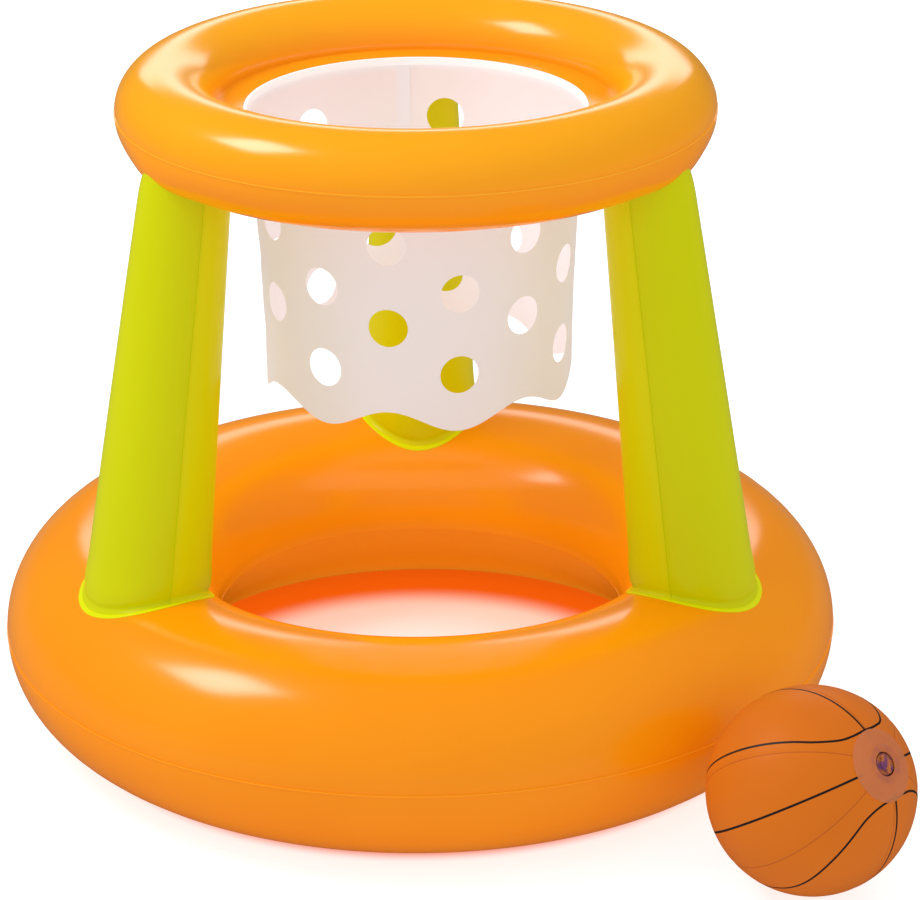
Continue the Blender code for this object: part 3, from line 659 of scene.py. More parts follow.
def turned(outline, steps):
    """Points and faces of a closed outline of (radius, height) turned about Z. Radius 0 gives one point."""
    azimuths = TAU * np.arange(steps) / steps
    points = []
    rows = []
    for radius, height in outline:
        start = len(points)
        if radius < 1e-9:
            points.append((0.0, 0.0, height))
            rows.append([start] * steps)
            continue
        points.extend(zip(radius * np.cos(azimuths), radius * np.sin(azimuths), [height] * steps))
        rows.append(list(range(start, start + steps)))
    faces = []
    for row, after in zip(rows, rows[1:] + rows[:1]):
        for step in range(steps):
            ahead = (step + 1) % steps
            corners = list(dict.fromkeys((row[step], row[ahead], after[ahead], after[step])))
            if len(corners) > 2:
                faces.append(corners)
    return points, faces


def outline_in_mm(rows):
    """A section from rows of (radius in metres, millimetres out from it, height in millimetres)."""
    return [(radius + out * MM, height * MM) for radius, out, height in rows]


def add_object(name, mesh):
    piece = bpy.data.objects.new(name, mesh)
    bpy.context.scene.collection.objects.link(piece)
    return piece


def mesh_of(name, points, faces):
    mesh = bpy.data.meshes.new(name)
    mesh.from_pydata([tuple(point) for point in points], [], [list(face) for face in faces])
    return mesh


def add_piece(name, points, faces, material, place, sharp=SHARP):
    """One piece from its points and faces in a frame, facing outwards, smooth but for its sharp edges."""
    mesh = mesh_of(name, points, faces)
    mesh.transform(place)
    mesh.materials.append(material)
    mesh.update()
    mesh.shade_smooth()
    mesh.set_sharp_from_angle(angle=math.radians(sharp))
    face_out(mesh)
    return add_object(name, mesh)


def evaluated(piece):
    """A new mesh of the piece as its modifiers make it."""
    bpy.context.view_layer.update()
    return bpy.data.meshes.new_from_object(piece.evaluated_get(bpy.context.evaluated_depsgraph_get()))


def thickened(points, faces, thickness):
    """Points and faces of an open sheet with a thickness, half of it on each side."""
    draft = add_object("draft", mesh_of("draft", points, faces))
    solidify = draft.modifiers.new("thickness", "SOLIDIFY")
    solidify.thickness = thickness
    solidify.offset = 0.0
    solidify.use_even_offset = False
    mesh = evaluated(draft)
    bpy.data.objects.remove(draft)
    return [vertex.co for vertex in mesh.vertices], [face.vertices for face in mesh.polygons]


def punch(piece, seat, radius):
    """Cuts a round hole through a sheet under a valve's seat."""
    reach = 6 * MM
    points, faces = turned([(0, -reach), (radius, -reach), (radius, reach), (0, reach)], steps=72)
    cutter = add_piece("punch", points, faces, piece.data.materials[0], seat)
    cut = piece.modifiers.new("hole", "BOOLEAN")
    cut.operation = "DIFFERENCE"
    cut.object = cutter
    punched = evaluated(piece)
    if len(punched.polygons) == len(piece.data.polygons):
        raise RuntimeError(f"no hole was cut in {piece.name}")
    punched.set_sharp_from_angle(angle=math.radians(SHARP))
    piece.modifiers.remove(cut)
    piece.data = punched
    bpy.data.objects.remove(cutter)


def face_out(mesh):
    """Turns a closed mesh the right way out, by the sign of its volume."""
    mesh.calc_loop_triangles()
    corners = np.empty(len(mesh.loop_triangles) * 3, np.int32)
    mesh.loop_triangles.foreach_get("vertices", corners)
    places = np.empty(len(mesh.vertices) * 3, np.float32)
    mesh.vertices.foreach_get("co", places)
    triangles = places.reshape(-1, 3).astype(float)[corners.reshape(-1, 3)]
    volume = np.einsum("ij,ij->i", triangles[:, 0], np.cross(triangles[:, 1], triangles[:, 2])).sum()
    if volume < 0:
        mesh.flip_normals()


def dress(piece, body, slot, *nodes):
    """The piece rides on a body and stands for its CAD nodes, which are hidden. The slot is not used."""
    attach(piece, body)
    if nodes:
        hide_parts(*nodes)
    return piece


def eased(steps, squeeze):
    """Shares from 0 to 1 that crowd towards both ends."""
    share = np.linspace(0, 1, steps + 1)
    return share - squeeze * np.sin(TAU * share) / TAU


def bell(distance, width, middle=0.0):
    """1 at the middle, and less on both sides."""
    return np.exp(-(((distance - middle) / width) ** 2))


def ripple(azimuth, waves, seed):
    """An uneven ripple between -1 and 1 round a ring, from whole waves so that it joins up."""
    random = np.random.default_rng(seed)
    total = np.zeros_like(azimuth)
    weights = 0.0
    for waves_round in waves:
        weight = random.uniform(0.5, 1.0)
        total += weight * np.sin(waves_round * azimuth + random.uniform(0, TAU))
        weights += weight
    return total / weights


# Rings

SHORT_LIP_SHARES = np.array([1.0, 0.72, 0.42, 0.18])
WIDE_LIP_SHARES = np.linspace(1.0, 0.04, 9)
WIDE_LIP = 5 * MM
WELD_EASE = 1.2 * MM
PUCKER_WAVES = ((46, 58, 71, 83, 97), (39, 52, 64, 77))
STRENGTH_WAVES = (2, 3, 5, 7)
LIP_WAVES = (5, 7, 9, 12)
BULGE_TURN = 0.17
BULGE_SPREAD = 0.4
BULGE_MIDDLE = TAU - 0.62
STILL_SPREAD = 0.12
VALVE_CLEARANCE = 0.1 * MM


def oval(half_width, half_height, angle, proud):
    """Points of a tube's oval section so far proud of its wall."""
    normal = unit(np.stack([half_height * np.cos(angle), half_width * np.sin(angle)], -1))
    wall = np.stack([half_width * np.cos(angle), half_height * np.sin(angle)], -1)
    return wall + normal * proud[..., None]


def sheet_profile(settings, upper):
    """One sheet across a ring, from its first weld to its last: the upper one starts at the outer weld and
    goes over the top, and the lower one starts at the inner weld and goes under the bottom. For each point it
    gives how proud it is, the section's angle, how far it is shifted up, and how far it is from each weld."""
    angles = math.pi * eased(settings.across, squeeze=0.9)
    welds = [(settings.weld_lip, settings.pinch), (settings.inner_lip, settings.inner_pinch)]
    rise = settings.weld_gap / 2 + settings.sheet
    if not upper:
        angles = angles + math.pi
        welds.reverse()
        rise = -rise
    lips, pinches = zip(*welds)
    arc = angles - angles[0]
    from_welds = np.stack([arc, arc[-1] - arc]) * ((settings.half_width + settings.half_height) / 2)
    drawn = np.array(pinches) @ bell(from_welds, settings.pinch_reach)
    shift = rise * np.exp(-from_welds.min(0) / WELD_EASE)
    first, last = [lip * (SHORT_LIP_SHARES if lip < WIDE_LIP else WIDE_LIP_SHARES) for lip in lips]
    proud = np.concatenate([first, -drawn, last[::-1]])
    return proud, *np.pad([angles, shift, *from_welds], ((0, 0), (len(first), len(last))), "edge")


def drawn_under(settings, angle, flatness):
    """How far each point of the inner lower wall moves, to run in under the tube to the sole's far edge."""
    wide, tall, sole = settings.half_width, settings.half_height, settings.sole_half_width
    end = 1.5 * math.pi + math.asin(sole / wide)
    depth = -tall * math.sin(end)
    turned_by = np.clip((angle - math.pi) / (end - math.pi), 0, 1) * math.pi / 2
    inwards, down = np.cos(turned_by), np.sin(turned_by)
    flattened = flatness * (inwards + down - 1) / 2
    across = sole - (wide + sole) * (inwards - flattened)
    move = np.stack([across - wide * np.cos(angle), -depth * (down - flattened) - tall * np.sin(angle)], -1)
    return move * (angle < end)[:, None]


def over_posts(azimuth, angle, bulge):
    """How far the hoop's outer lower wall swells out over the posts, and not at its weld."""
    from_post = (azimuth - math.pi / 2 + TAU / 6) % (TAU / 3) - TAU / 6
    across = bell(angle, BULGE_SPREAD, BULGE_MIDDLE) * (1 - bell(angle, STILL_SPREAD, TAU))
    return bulge * bell(from_post, BULGE_TURN)[:, None] * across


def ring_sheet(settings, upper, seed, lip_wave=0.0, undercut=0.0, bulge=0.0):
    """The outer side of one sheet of a ring, as a grid of points round and across."""
    proud, angle, shift, *from_welds = sheet_profile(settings, upper)
    azimuth = TAU * np.arange(settings.around) / settings.around
    proud = np.tile(proud, (settings.around, 1))
    if not upper:
        from_welds.reverse()
    for weld, (distance, waves) in enumerate(zip(from_welds, PUCKER_WAVES)):
        strong = np.clip(ripple(azimuth, STRENGTH_WAVES, seed + weld + 10) + 0.25, 0, None)
        pucker = ripple(azimuth, waves, seed + weld) * strong
        fade = bell(distance, settings.pucker_reach) * (distance > 0)
        proud += settings.pucker * pucker[:, None] * fade
    if bulge:
        proud += over_posts(azimuth, angle, bulge)
    section = oval(settings.half_width, settings.half_height, np.tile(angle, (settings.around, 1)), proud)
    if undercut:
        section = section + drawn_under(settings, angle, undercut)
    radius = settings.centre_radius() + section[..., 0]
    height = settings.centre_height() + section[..., 1] + shift
    if lip_wave:
        hole_radius = settings.outer_radius - 2 * settings.half_width
        share = np.clip((hole_radius - radius) / settings.inner_lip, 0, 1)
        height += ripple(azimuth, LIP_WAVES, seed=77)[:, None] * lip_wave * np.sin(np.pi * share)
    around = azimuth[:, None]
    return np.stack([radius * np.cos(around), radius * np.sin(around), height], -1)


def build_ring(context, ring, settings, seed, lip_wave=0.0, **lower_shape):
    """A ring's two sheets. The upper one has a hole for the valve, and lower_shape is for the lower one."""
    material = ring_vinyl(f"{ring}_vinyl", settings)
    for side in ("upper", "lower"):
        own = lower_shape if side == "lower" else {}
        grid = ring_sheet(settings, side == "upper", seed, lip_wave, **own)
        grid[..., 2] = np.maximum(grid[..., 2], 0.0)
        shape = shell(grid, settings.sheet, closed=True)
        piece = add_piece(f"{ring}_{side}_sheet", *shape, material, RING_PLACE)
        if side == "upper":
            valve = context.scene.pool_hoop_valves
            punch(piece, valve.seat(ring), valve.sleeve_radius + valve.sleeve_wall + VALVE_CLEARANCE)
        dress(piece, "float", "orange_vinyl", f"{ring}_{side}_panel")


class PH_OT_base_ring(bpy.types.Operator):
    """Build the base ring's upper and lower sheets"""

    bl_idname = "pool_hoop.base_ring"
    bl_label = "Base Ring"

    def execute(self, context):
        settings = context.scene.pool_hoop_base
        build_ring(context, "base", settings, seed=3, undercut=settings.undercut)
        return {"FINISHED"}


class PH_OT_hoop_ring(bpy.types.Operator):
    """Build the hoop ring's upper and lower sheets, with the lip that the net hangs from"""

    bl_idname = "pool_hoop.hoop_ring"
    bl_label = "Hoop Ring"

    def execute(self, context):
        settings = context.scene.pool_hoop_hoop
        build_ring(context, "hoop", settings, seed=21, lip_wave=settings.lip_wave, bulge=settings.bulge)
        return {"FINISHED"}


# Posts

# Each swell of a foot: how far out, over what height and at what height, in millimetres.
FOOT_SWELLS = ((0.7, 9, 16), (-1.5, 3, 2.5), (1.5, 1, 0))
GATHER_WAVES = (11, 14, 17, 23)
GATHER_REACH = 6 * MM
FOOT_GATHER, TOP_GATHER = 0.26 * MM, 0.18 * MM
RIM_WAVES = (5, 8, 13)
RIM_LIFT = 0.02 * MM
RIM_ROUGHNESS = 0.2 * MM


class Seat:
    """Where a post's end meets a ring: its top (side 1) or underside (side -1), shifted outwards."""

    def __init__(self, ring, side, shift):
        self.centre_radius = ring.centre_radius()
        self.centre_height = ring.centre_height()
        self.half_width = ring.half_width
        self.half_height = ring.half_height
        self.side = side
        self.shift = shift

    def over(self, azimuth, outwards, sideways, proud):
        """Points over the seat, at offsets from its middle and so far proud of the ring's wall."""
        radial = self.centre_radius + self.shift + outwards
        distance = np.hypot(radial, sideways)
        share = np.clip(np.abs(distance - self.centre_radius) / (self.half_width + proud), 0, 0.999)
        height = self.centre_height + self.side * (self.half_height + proud) * np.sqrt(1 - share**2)
        x = radial * math.cos(azimuth) - sideways * math.sin(azimuth)
        y = radial * math.sin(azimuth) + sideways * math.cos(azimuth)
        return np.stack([x, y, height], -1)


def post_section(settings, start, end):
    """One sheet round a post, from one side weld to the other: for each point how proud it is, its angle
    from straight outwards, and how far it is slid sideways."""
    angles = start + (end - start) * eased(settings.across, squeeze=0.88)
    mean = (settings.foot_radius + settings.top_radius) / 2
    from_start, from_end = (angles - start) * mean, (end - angles) * mean
    drawn = -settings.pinch * bell(np.minimum(from_start, from_end), settings.pinch_reach)
    rise = settings.weld_gap / 2 + settings.sheet
    slid = rise * (np.exp(-from_start / WELD_EASE) - np.exp(-from_end / WELD_EASE))
    lip = settings.weld_lip * SHORT_LIP_SHARES
    proud = np.concatenate([lip, drawn, lip[::-1]])
    return proud, *np.pad([angles, slid], ((0, 0), (len(lip), len(lip))), "edge")


def post_swell(settings, angle, up, down, seed):
    """How far a post's wall swells, for each place round it and each height: in at its ends, then out."""
    waist = sum(out * MM * bell(up, spread * MM, height * MM) for out, spread, height in FOOT_SWELLS)
    waist = waist - settings.top_neck * bell(down, settings.neck_reach)
    gathers = ripple(angle, GATHER_WAVES, seed)
    fade = FOOT_GATHER * bell(up, GATHER_REACH, 7 * MM) + TOP_GATHER * bell(down, GATHER_REACH, 6 * MM)
    return waist[None, :] + gathers[:, None] * fade[None, :]


def post_sheet(settings, seats, azimuth, start, end, seed):
    """The outer side of one of a post's sheets, as a grid of points round and up."""
    proud, angle, slid = post_section(settings, start, end)
    share = eased(settings.rows, squeeze=0.86)
    low_proud = settings.rim_thickness
    middles = [seat.over(azimuth, np.zeros(1), np.zeros(1), low_proud) for seat in seats]
    span = np.linalg.norm(middles[1] - middles[0])
    swell = post_swell(settings, angle, share * span, (1 - share) * span, seed)
    bow = settings.bow * np.sin(math.pi * share)[None, :]
    ends = []
    for seat, radius in zip(seats, (settings.foot_radius, settings.top_radius)):
        reach = radius + proud[:, None] + swell
        outwards = reach * np.cos(angle)[:, None] - (slid * np.sin(angle))[:, None] + bow
        sideways = reach * np.sin(angle)[:, None] + (slid * np.cos(angle))[:, None]
        ends.append(seat.over(azimuth, outwards, sideways, low_proud))
    return ends[0] * (1 - share)[None, :, None] + ends[1] * share[None, :, None]


def weld_rim(settings, seat, azimuth, radius, rim, steps=144):
    """Points and faces of the weld rim round a post's end, lying on the ring."""
    thick = settings.rim_thickness
    inner, outer = radius - settings.rim_tuck, radius + rim
    round_over = min(thick, rim) * 0.8
    outline = [(inner, RIM_LIFT), (outer - 0.2 * MM, RIM_LIFT), (outer, 0.25 * thick), (outer, 0.6 * thick)]
    outline += [(outer - 0.35 * round_over, 0.9 * thick), (outer - round_over, thick)]
    outline += [(outer - max(round_over, 0.5 * rim), 0.9 * thick), (inner, 0.86 * thick)]
    angle = TAU * np.arange(steps) / steps
    edge = RIM_ROUGHNESS * ripple(angle, RIM_WAVES, seed=31)
    columns = []
    for reach, proud in outline:
        uneven = reach + (edge if reach > radius else 0.0)
        columns.append(seat.over(azimuth, uneven * np.cos(angle), uneven * np.sin(angle), proud))
    return tube(np.stack(columns, 1), joined=True)


class PH_OT_posts(bpy.types.Operator):
    """Build the three posts: two sheets each, and the weld rims at foot and top"""

    bl_idname = "pool_hoop.posts"
    bl_label = "Posts"

    def execute(self, context):
        settings = context.scene.pool_hoop_posts
        outer_wall = plain_vinyl("lime_vinyl", settings.wall_colour)
        # Painted light: a lighter copy of the lime for the inner sheets.
        lifted_inner_wall = plain_vinyl("lime_inner_vinyl", settings.lifted_inner_colour)
        # Painted light: a lighter copy of the lime for the foot rims.
        lit_foot_rims = plain_vinyl("lime_weld_vinyl", settings.lit_rim_colour)
        foot = Seat(context.scene.pool_hoop_base, 1, settings.foot_shift)
        top = Seat(context.scene.pool_hoop_hoop, -1, settings.top_shift)
        seam = settings.seam_angle
        sides = (("outer", -seam, seam, outer_wall), ("inner", seam, TAU - seam, lifted_inner_wall))
        ends = (
            ("foot", foot, settings.foot_radius, settings.foot_rim, lit_foot_rims),
            ("top", top, settings.top_radius - settings.top_neck, settings.top_rim, outer_wall),
        )
        for post, name in enumerate(("post_rear", "post_left", "post_right")):
            azimuth = math.pi / 2 + TAU / 3 * post
            for side, start, end, wall in sides:
                grid = post_sheet(settings, (foot, top), azimuth, start, end, 40 + post)
                shape = shell(grid, settings.sheet, closed=False)
                piece = add_piece(f"{name}_{side}_sheet", *shape, wall, RING_PLACE)
                dress(piece, "float", "lime_vinyl", f"{name}_{side}_panel")
            for end, seat, radius, rim, vinyl in ends:
                shape = weld_rim(settings, seat, azimuth, radius, rim)
                piece = add_piece(f"{name}_{end}_rim", *shape, vinyl, RING_PLACE, sharp=50)
                dress(piece, "float", "lime_weld_vinyl", f"{name}_{end}_flange")
        return {"FINISHED"}


# Net

RIM_POINTS, SIDE_POINTS, HEM_POINTS = 150, 40, 260
POINT_SPACING = 5.5 * MM
EDGE_CLEARANCE = 1.6 * MM
FOLD_WAVES = (3, 5, 9, 11)
# The band's section, from the net's rim: how far out and how high, in millimetres, but for its lower end.
BAND_SECTION = [(-0.35, 0.15), (1.1, 0.15), (1.1, -1.4), (1.6, -1.4), (1.6, -7.8), (2.1, -7.8), (2.1, -1.4)]
BAND_SECTION += [(9.6, -1.4), (9.6, -0.9), (1.5, -0.9), (1.5, 0.45), (-0.65, 0.45)]


def net_radius(settings, drop):
    left = np.clip(1 - drop / settings.drop, 0, 1)
    return settings.hem_radius + (settings.rim_radius - settings.hem_radius) * left**settings.taper_power


def hem_drop(settings, turned_by):
    return settings.drop - settings.hem_wave * np.sin(settings.columns / 2 * turned_by)


def net_holes(settings):
    """Turn and drop of the middle of each hole, as an array."""
    holes = []
    for column in range(settings.columns):
        first, holes_down = (settings.long_first, 3) if column % 2 else (settings.short_first, 2)
        turned_by = (column + 0.5) * TAU / settings.columns
        holes += [(turned_by, first + row * settings.hole_pitch) for row in range(holes_down)]
    return np.array(holes)


def net_flat_points(settings):
    """The flat sheet's points as (turn, drop), the edges of its outline and holes, and the holes' middles."""
    full = TAU + settings.lap / settings.rim_radius
    points = []
    edges = []

    def add_loop(loop):
        start = len(points)
        points.extend(loop)
        edges.extend((start + index, start + (index + 1) % len(loop)) for index in range(len(loop)))

    down = np.linspace(0, 1, SIDE_POINTS)[1:-1]
    loop = [(turned_by, 0.0) for turned_by in np.linspace(0, full, RIM_POINTS)]
    loop += [(full, hem_drop(settings, full) * share) for share in down]
    loop += [(turned_by, hem_drop(settings, turned_by)) for turned_by in np.linspace(full, 0, HEM_POINTS)]
    loop += [(0.0, hem_drop(settings, 0.0) * share) for share in down[::-1]]
    add_loop(loop)
    holes = net_holes(settings)
    around = TAU * (np.arange(settings.hole_sides) + 0.5) / settings.hole_sides
    for hole_turn, hole_drop in holes:
        across = settings.hole_radius * np.cos(around) / net_radius(settings, hole_drop)
        add_loop(list(zip(hole_turn + across, hole_drop + settings.hole_radius * np.sin(around))))
    for drop in np.arange(5 * MM, settings.drop + settings.hem_wave, POINT_SPACING):
        for turned_by in np.arange(0.02, full - 0.01, POINT_SPACING / settings.rim_radius):
            reach = (holes[:, 0] - turned_by) * net_radius(settings, drop)
            clear = np.hypot(reach, holes[:, 1] - drop).min() > settings.hole_radius + EDGE_CLEARANCE
            if clear and drop < hem_drop(settings, turned_by) - EDGE_CLEARANCE:
                points.append((turned_by, drop))
    return points, edges, holes


def net_place(settings, turned_by, drop):
    """Where the flat sheet's points hang. The far end laps outside the near one, and the folds deepen with
    the drop."""
    ramp = settings.lap_ramp / settings.rim_radius
    share = np.clip((turned_by - TAU + ramp) / ramp, 0, 1)
    near = np.clip(turned_by / ramp, 0, 1)
    depth = np.clip(drop / settings.drop, 0, 1.1) ** 1.6
    folds = 0.65 * np.sin(settings.columns / 2 * turned_by) + 0.35 * ripple(turned_by, FOLD_WAVES, seed=51)
    radius = net_radius(settings, drop) + settings.fold * depth * folds * near * (1 - share)
    radius = radius + (settings.sheet + 0.3 * MM) * share
    azimuth = settings.lap_azimuth + turned_by
    return np.stack([radius * np.cos(azimuth), radius * np.sin(azimuth), -drop], -1)


def net_sheet(settings):
    """Points and faces of the net's middle surface, hung from height 0."""
    flat, edges, holes = net_flat_points(settings)
    unrolled = [Vector((turned_by * settings.rim_radius, -drop)) for turned_by, drop in flat]
    filled, _, corners, _, _, _ = delaunay_2d_cdt(unrolled, edges, [], 0, 1e-6)
    filled = np.array([tuple(point) for point in filled])
    corners = np.array(corners)
    turns, drops = filled[:, 0] / settings.rim_radius, -filled[:, 1]
    middle_turn, middle_drop = turns[corners].mean(1), drops[corners].mean(1)
    reach = (middle_turn[:, None] - holes[None, :, 0]) * net_radius(settings, holes[None, :, 1])
    in_hole = np.hypot(reach, middle_drop[:, None] - holes[None, :, 1]).min(1) < settings.hole_radius * 0.995
    below = middle_drop > hem_drop(settings, middle_turn) - 0.02 * MM
    used, faces = np.unique(corners[~(in_hole | below)], return_inverse=True)
    return net_place(settings, turns[used], drops[used]), faces.reshape(-1, 3)


def net_area(settings):
    """Area of the flat net without its holes."""
    drops = np.linspace(0, settings.drop, 400)
    widths = (TAU + settings.lap / settings.rim_radius) * net_radius(settings, drops)
    holes = len(net_holes(settings)) * math.pi * settings.hole_radius**2
    return float(widths.mean() * settings.drop - holes)


class PH_OT_net(bpy.types.Operator):
    """Build the punched net and the band that welds it under the hoop's lip"""

    bl_idname = "pool_hoop.net"
    bl_label = "Net"

    def execute(self, context):
        settings = context.scene.pool_hoop_net
        place = RING_PLACE @ Matrix.Translation((0, 0, context.scene.pool_hoop_hoop.centre_height()))
        # Painted light: the net's inner side is lighter than its outer side, and net and band glow by
        # themselves.
        colours = settings.net_colour, settings.lifted_net_inner_colour
        frosted = frosted_vinyl("net_vinyl", *colours, alpha=0.93, spread=0.4, painted_glow=0.15)
        cloth = thickened(*net_sheet(settings), settings.sheet)
        net = add_piece("net_cloth", *cloth, frosted, place, sharp=40)
        dress(net, "float", "net_vinyl", "net_sheet")
        colours = settings.band_colour, settings.band_colour
        white = frosted_vinyl("net_band_vinyl", *colours, alpha=1.0, spread=0.15, painted_glow=0.22)
        foot = -settings.band / MM
        section = [(-0.65, foot), (-0.35, foot), *BAND_SECTION]
        outline = outline_in_mm((settings.rim_radius, out, height) for out, height in section)
        band = add_piece("net_rim_band", *turned(outline, steps=240), white, place, sharp=40)
        dress(band, "float", "net_band_vinyl", "net_top_band")
        net_area(settings)
        return {"FINISHED"}


# Ball

GORE_STEPS = 36
POLE_STEPS = 96
LINE_SPACING = 2 * MM
LINE_PROUD = 0.05 * MM
PATCH_GAP = 0.06 * MM
VALVE_GAP = 0.3 * MM
SMOOTH_CURVE = 0.5 * np.array([[0, 2, 0, 0], [-1, 0, 1, 0], [2, -5, 4, -1], [-1, 3, -3, 1]])


def on_ball(radius, azimuth, polar):
    flat = radius * np.sin(polar)
    return np.stack([flat * np.cos(azimuth), flat * np.sin(azimuth), radius * np.cos(polar)], -1)


def ball_skin(settings):
    """Points and faces of the ball's skin: all its gores as one shell, open under the patches."""
    gore = TAU / settings.gores
    per_gore = eased(GORE_STEPS, squeeze=0.9)[:-1] * gore
    azimuth = ((settings.seam_turn + gore * np.arange(settings.gores))[:, None] + per_gore).ravel()
    hole = math.asin(settings.hole_radius / settings.radius)
    polar = np.linspace(math.pi - hole, hole, POLE_STEPS + 1)
    to_seam = np.tile(np.minimum(per_gore, gore - per_gore), settings.gores)
    to_seam = to_seam[:, None] * settings.radius * np.sin(polar)[None, :]
    radius = settings.radius - settings.seam_groove * bell(to_seam, settings.seam_reach)
    return shell(on_ball(radius, azimuth[:, None], polar[None, :]), settings.sheet, closed=True)


def line_paths():
    """The printed lines of a plain basketball as (azimuth, polar) degrees about the valve: four upright lines
    and two closed loops. The half away from the valve mirrors the near half."""
    near_loop = [(48, 90), (46.7, 53), (45.5, 41.5), (39, 30), (25, 23.6), (-2.6, 21), (-21, 21.8)]
    near_loop += [(-35, 25), (-41, 28), (-45, 36), (-45, 60), (-45, 90)]
    far_loop = [(135, 90), (133, 62), (133, 39), (138, 28.5), (155, 21), (179, 19.2), (212, 23.5)]
    far_loop += [(224, 32), (228, 42), (229, 60), (229, 90)]
    paths = [([(azimuth, polar) for polar in range(16, 165, 4)], False) for azimuth in (-2, 88, 178, -95)]
    for loop in (near_loop, far_loop):
        paths.append((loop + [(azimuth, 180 - polar) for azimuth, polar in loop[-2:0:-1]], True))
    return paths


def smooth_path(radius, path, closed):
    """Points along a smooth curve on the ball through the path's points."""
    angles = np.radians(np.array(path, float))
    knots = on_ball(1.0, angles[:, 0], angles[:, 1])
    padded = np.pad(knots, ((1, 2 if closed else 1), (0, 0)), "wrap" if closed else "edge")
    out = []
    for first in range(len(padded) - 3):
        corners = padded[first : first + 4]
        steps = max(2, int(np.linalg.norm(corners[2] - corners[1]) * radius / LINE_SPACING))
        out.append((np.arange(steps) / steps)[:, None] ** np.arange(4) @ SMOOTH_CURVE @ corners)
    if not closed:
        out.append(knots[-1:])
    return unit(np.concatenate(out)) * radius


def ribbon(points, closed, half_width):
    """Points and faces of a thin band that lies on the ball along a path."""
    ahead = np.roll(points, -1, 0) - np.roll(points, 1, 0)
    if not closed:
        ahead[0] = points[1] - points[0]
        ahead[-1] = points[-1] - points[-2]
    side = unit(np.cross(unit(points), ahead)) * half_width
    radius = np.linalg.norm(points[0])
    section = [(-1, -LINE_PROUD), (1, -LINE_PROUD), (1, LINE_PROUD), (0, LINE_PROUD), (-1, LINE_PROUD)]
    columns = [unit(points + side * across) * (radius + proud) for across, proud in section]
    return tube(np.stack(columns, 1), closed)


def printed_lines(settings):
    points = []
    faces = []
    for path, closed in line_paths():
        centre = smooth_path(settings.radius, path, closed)
        its_points, its_faces = ribbon(centre, closed, settings.line_width / 2)
        faces.extend([[corner + len(points) for corner in face] for face in its_faces])
        points.extend(its_points.tolist())
    return points, faces


def patch_outline(settings, hole):
    """A patch's section on the ball, as (radius, height), with faint rings and a thin rounded edge."""
    edge = math.asin(settings.patch_radius / settings.radius)
    low = settings.radius + PATCH_GAP
    high = low + settings.patch_thickness
    spots = [(low, angle) for angle in np.linspace(hole, edge, 14)] + [((low + high) / 2, edge)]
    for angle in np.linspace(edge - 0.5 * MM / settings.radius, hole, 40):
        ring = 0.02 * MM * math.sin(high * math.sin(angle) / PATCH_RING_PITCH * TAU)
        spots.append((high + ring, angle))
    return [(reach * math.sin(angle), reach * math.cos(angle)) for reach, angle in spots]


class PH_OT_ball(bpy.types.Operator):
    """Build the ball's skin, its printed lines and the patches at its poles"""

    bl_idname = "pool_hoop.ball"
    bl_label = "Ball"

    def execute(self, context):
        settings = context.scene.pool_hoop_ball
        place = ball_place(context)
        far_place = place @ Matrix.Rotation(math.pi, 4, "X")
        patch = ball_patch_vinyl(settings, place)
        hole = math.asin(settings.hole_radius / settings.radius)
        near_patch, far_patch = (turned(patch_outline(settings, start), steps=120) for start in (hole, 0.0))
        gores = [f"ball_gore_{number + 1}" for number in range(settings.gores)]
        rows = (
            ("ball_skin", ball_skin(settings), ball_vinyl(settings, place), place, "ball_vinyl", gores),
            ("ball_printed_lines", printed_lines(settings), line_ink(settings), place, "ball_vinyl", ()),
            ("ball_valve_side_patch", near_patch, patch, place, "ball_patch_vinyl", ("ball_valve_patch",)),
            ("ball_far_patch", far_patch, patch, far_place, "ball_patch_vinyl", ("ball_pole_patch",)),
        )
        for name, shape, material, its_place, slot, nodes in rows:
            dress(add_piece(name, *shape, material, its_place, sharp=60), "ball", slot, *nodes)
        return {"FINISHED"}


def ball_place(context):
    """The ball's frame: its middle, with Z through its valve."""
    ball = context.scene.pool_hoop_ball
    hole = math.asin(ball.hole_radius / ball.radius)
    rise = (ball.radius + VALVE_GAP + ball.patch_thickness) * math.cos(hole)
    return context.scene.pool_hoop_valves.seat("ball") @ Matrix.Translation((0, 0, -rise))


# Valves

PLUG_STEPS = 120
STRAP_HALF_WIDTH = 1.6 * MM
SLEEVE_TOP = -1 * MM
PROBE_START = 10 * MM
FLANGE_SUNK = 0.15 * MM


def flange_outline(settings):
    """Section of the sleeve and its flange, with a rounded rim and two raised rings."""
    sleeve, rim = settings.sleeve_radius, settings.flange_radius
    outer, depth = sleeve + settings.sleeve_wall, settings.sleeve_depth / MM
    rows = [(sleeve, 0, -depth), (outer, 0, -depth), (outer, 0, -0.1), (outer, 0.25, 0.2)]
    rows += [(rim, -0.1, 0.2), (rim, 0, 0.35), (rim, -0.1, 0.5), (rim, -0.6, 0.58)]
    for share in np.linspace(0, 1, 25):
        ring = 0.16 * max(0.0, math.sin(share * 3 * math.pi)) ** 2
        rows.append((rim, -0.7 - share * ((rim - sleeve) / MM - 1.4), 0.6 + 0.3 * share + ring))
    return outline_in_mm(rows + [(sleeve, 0.35, 0.94), (sleeve, 0.1, 0.8), (sleeve, 0, 0.6)])


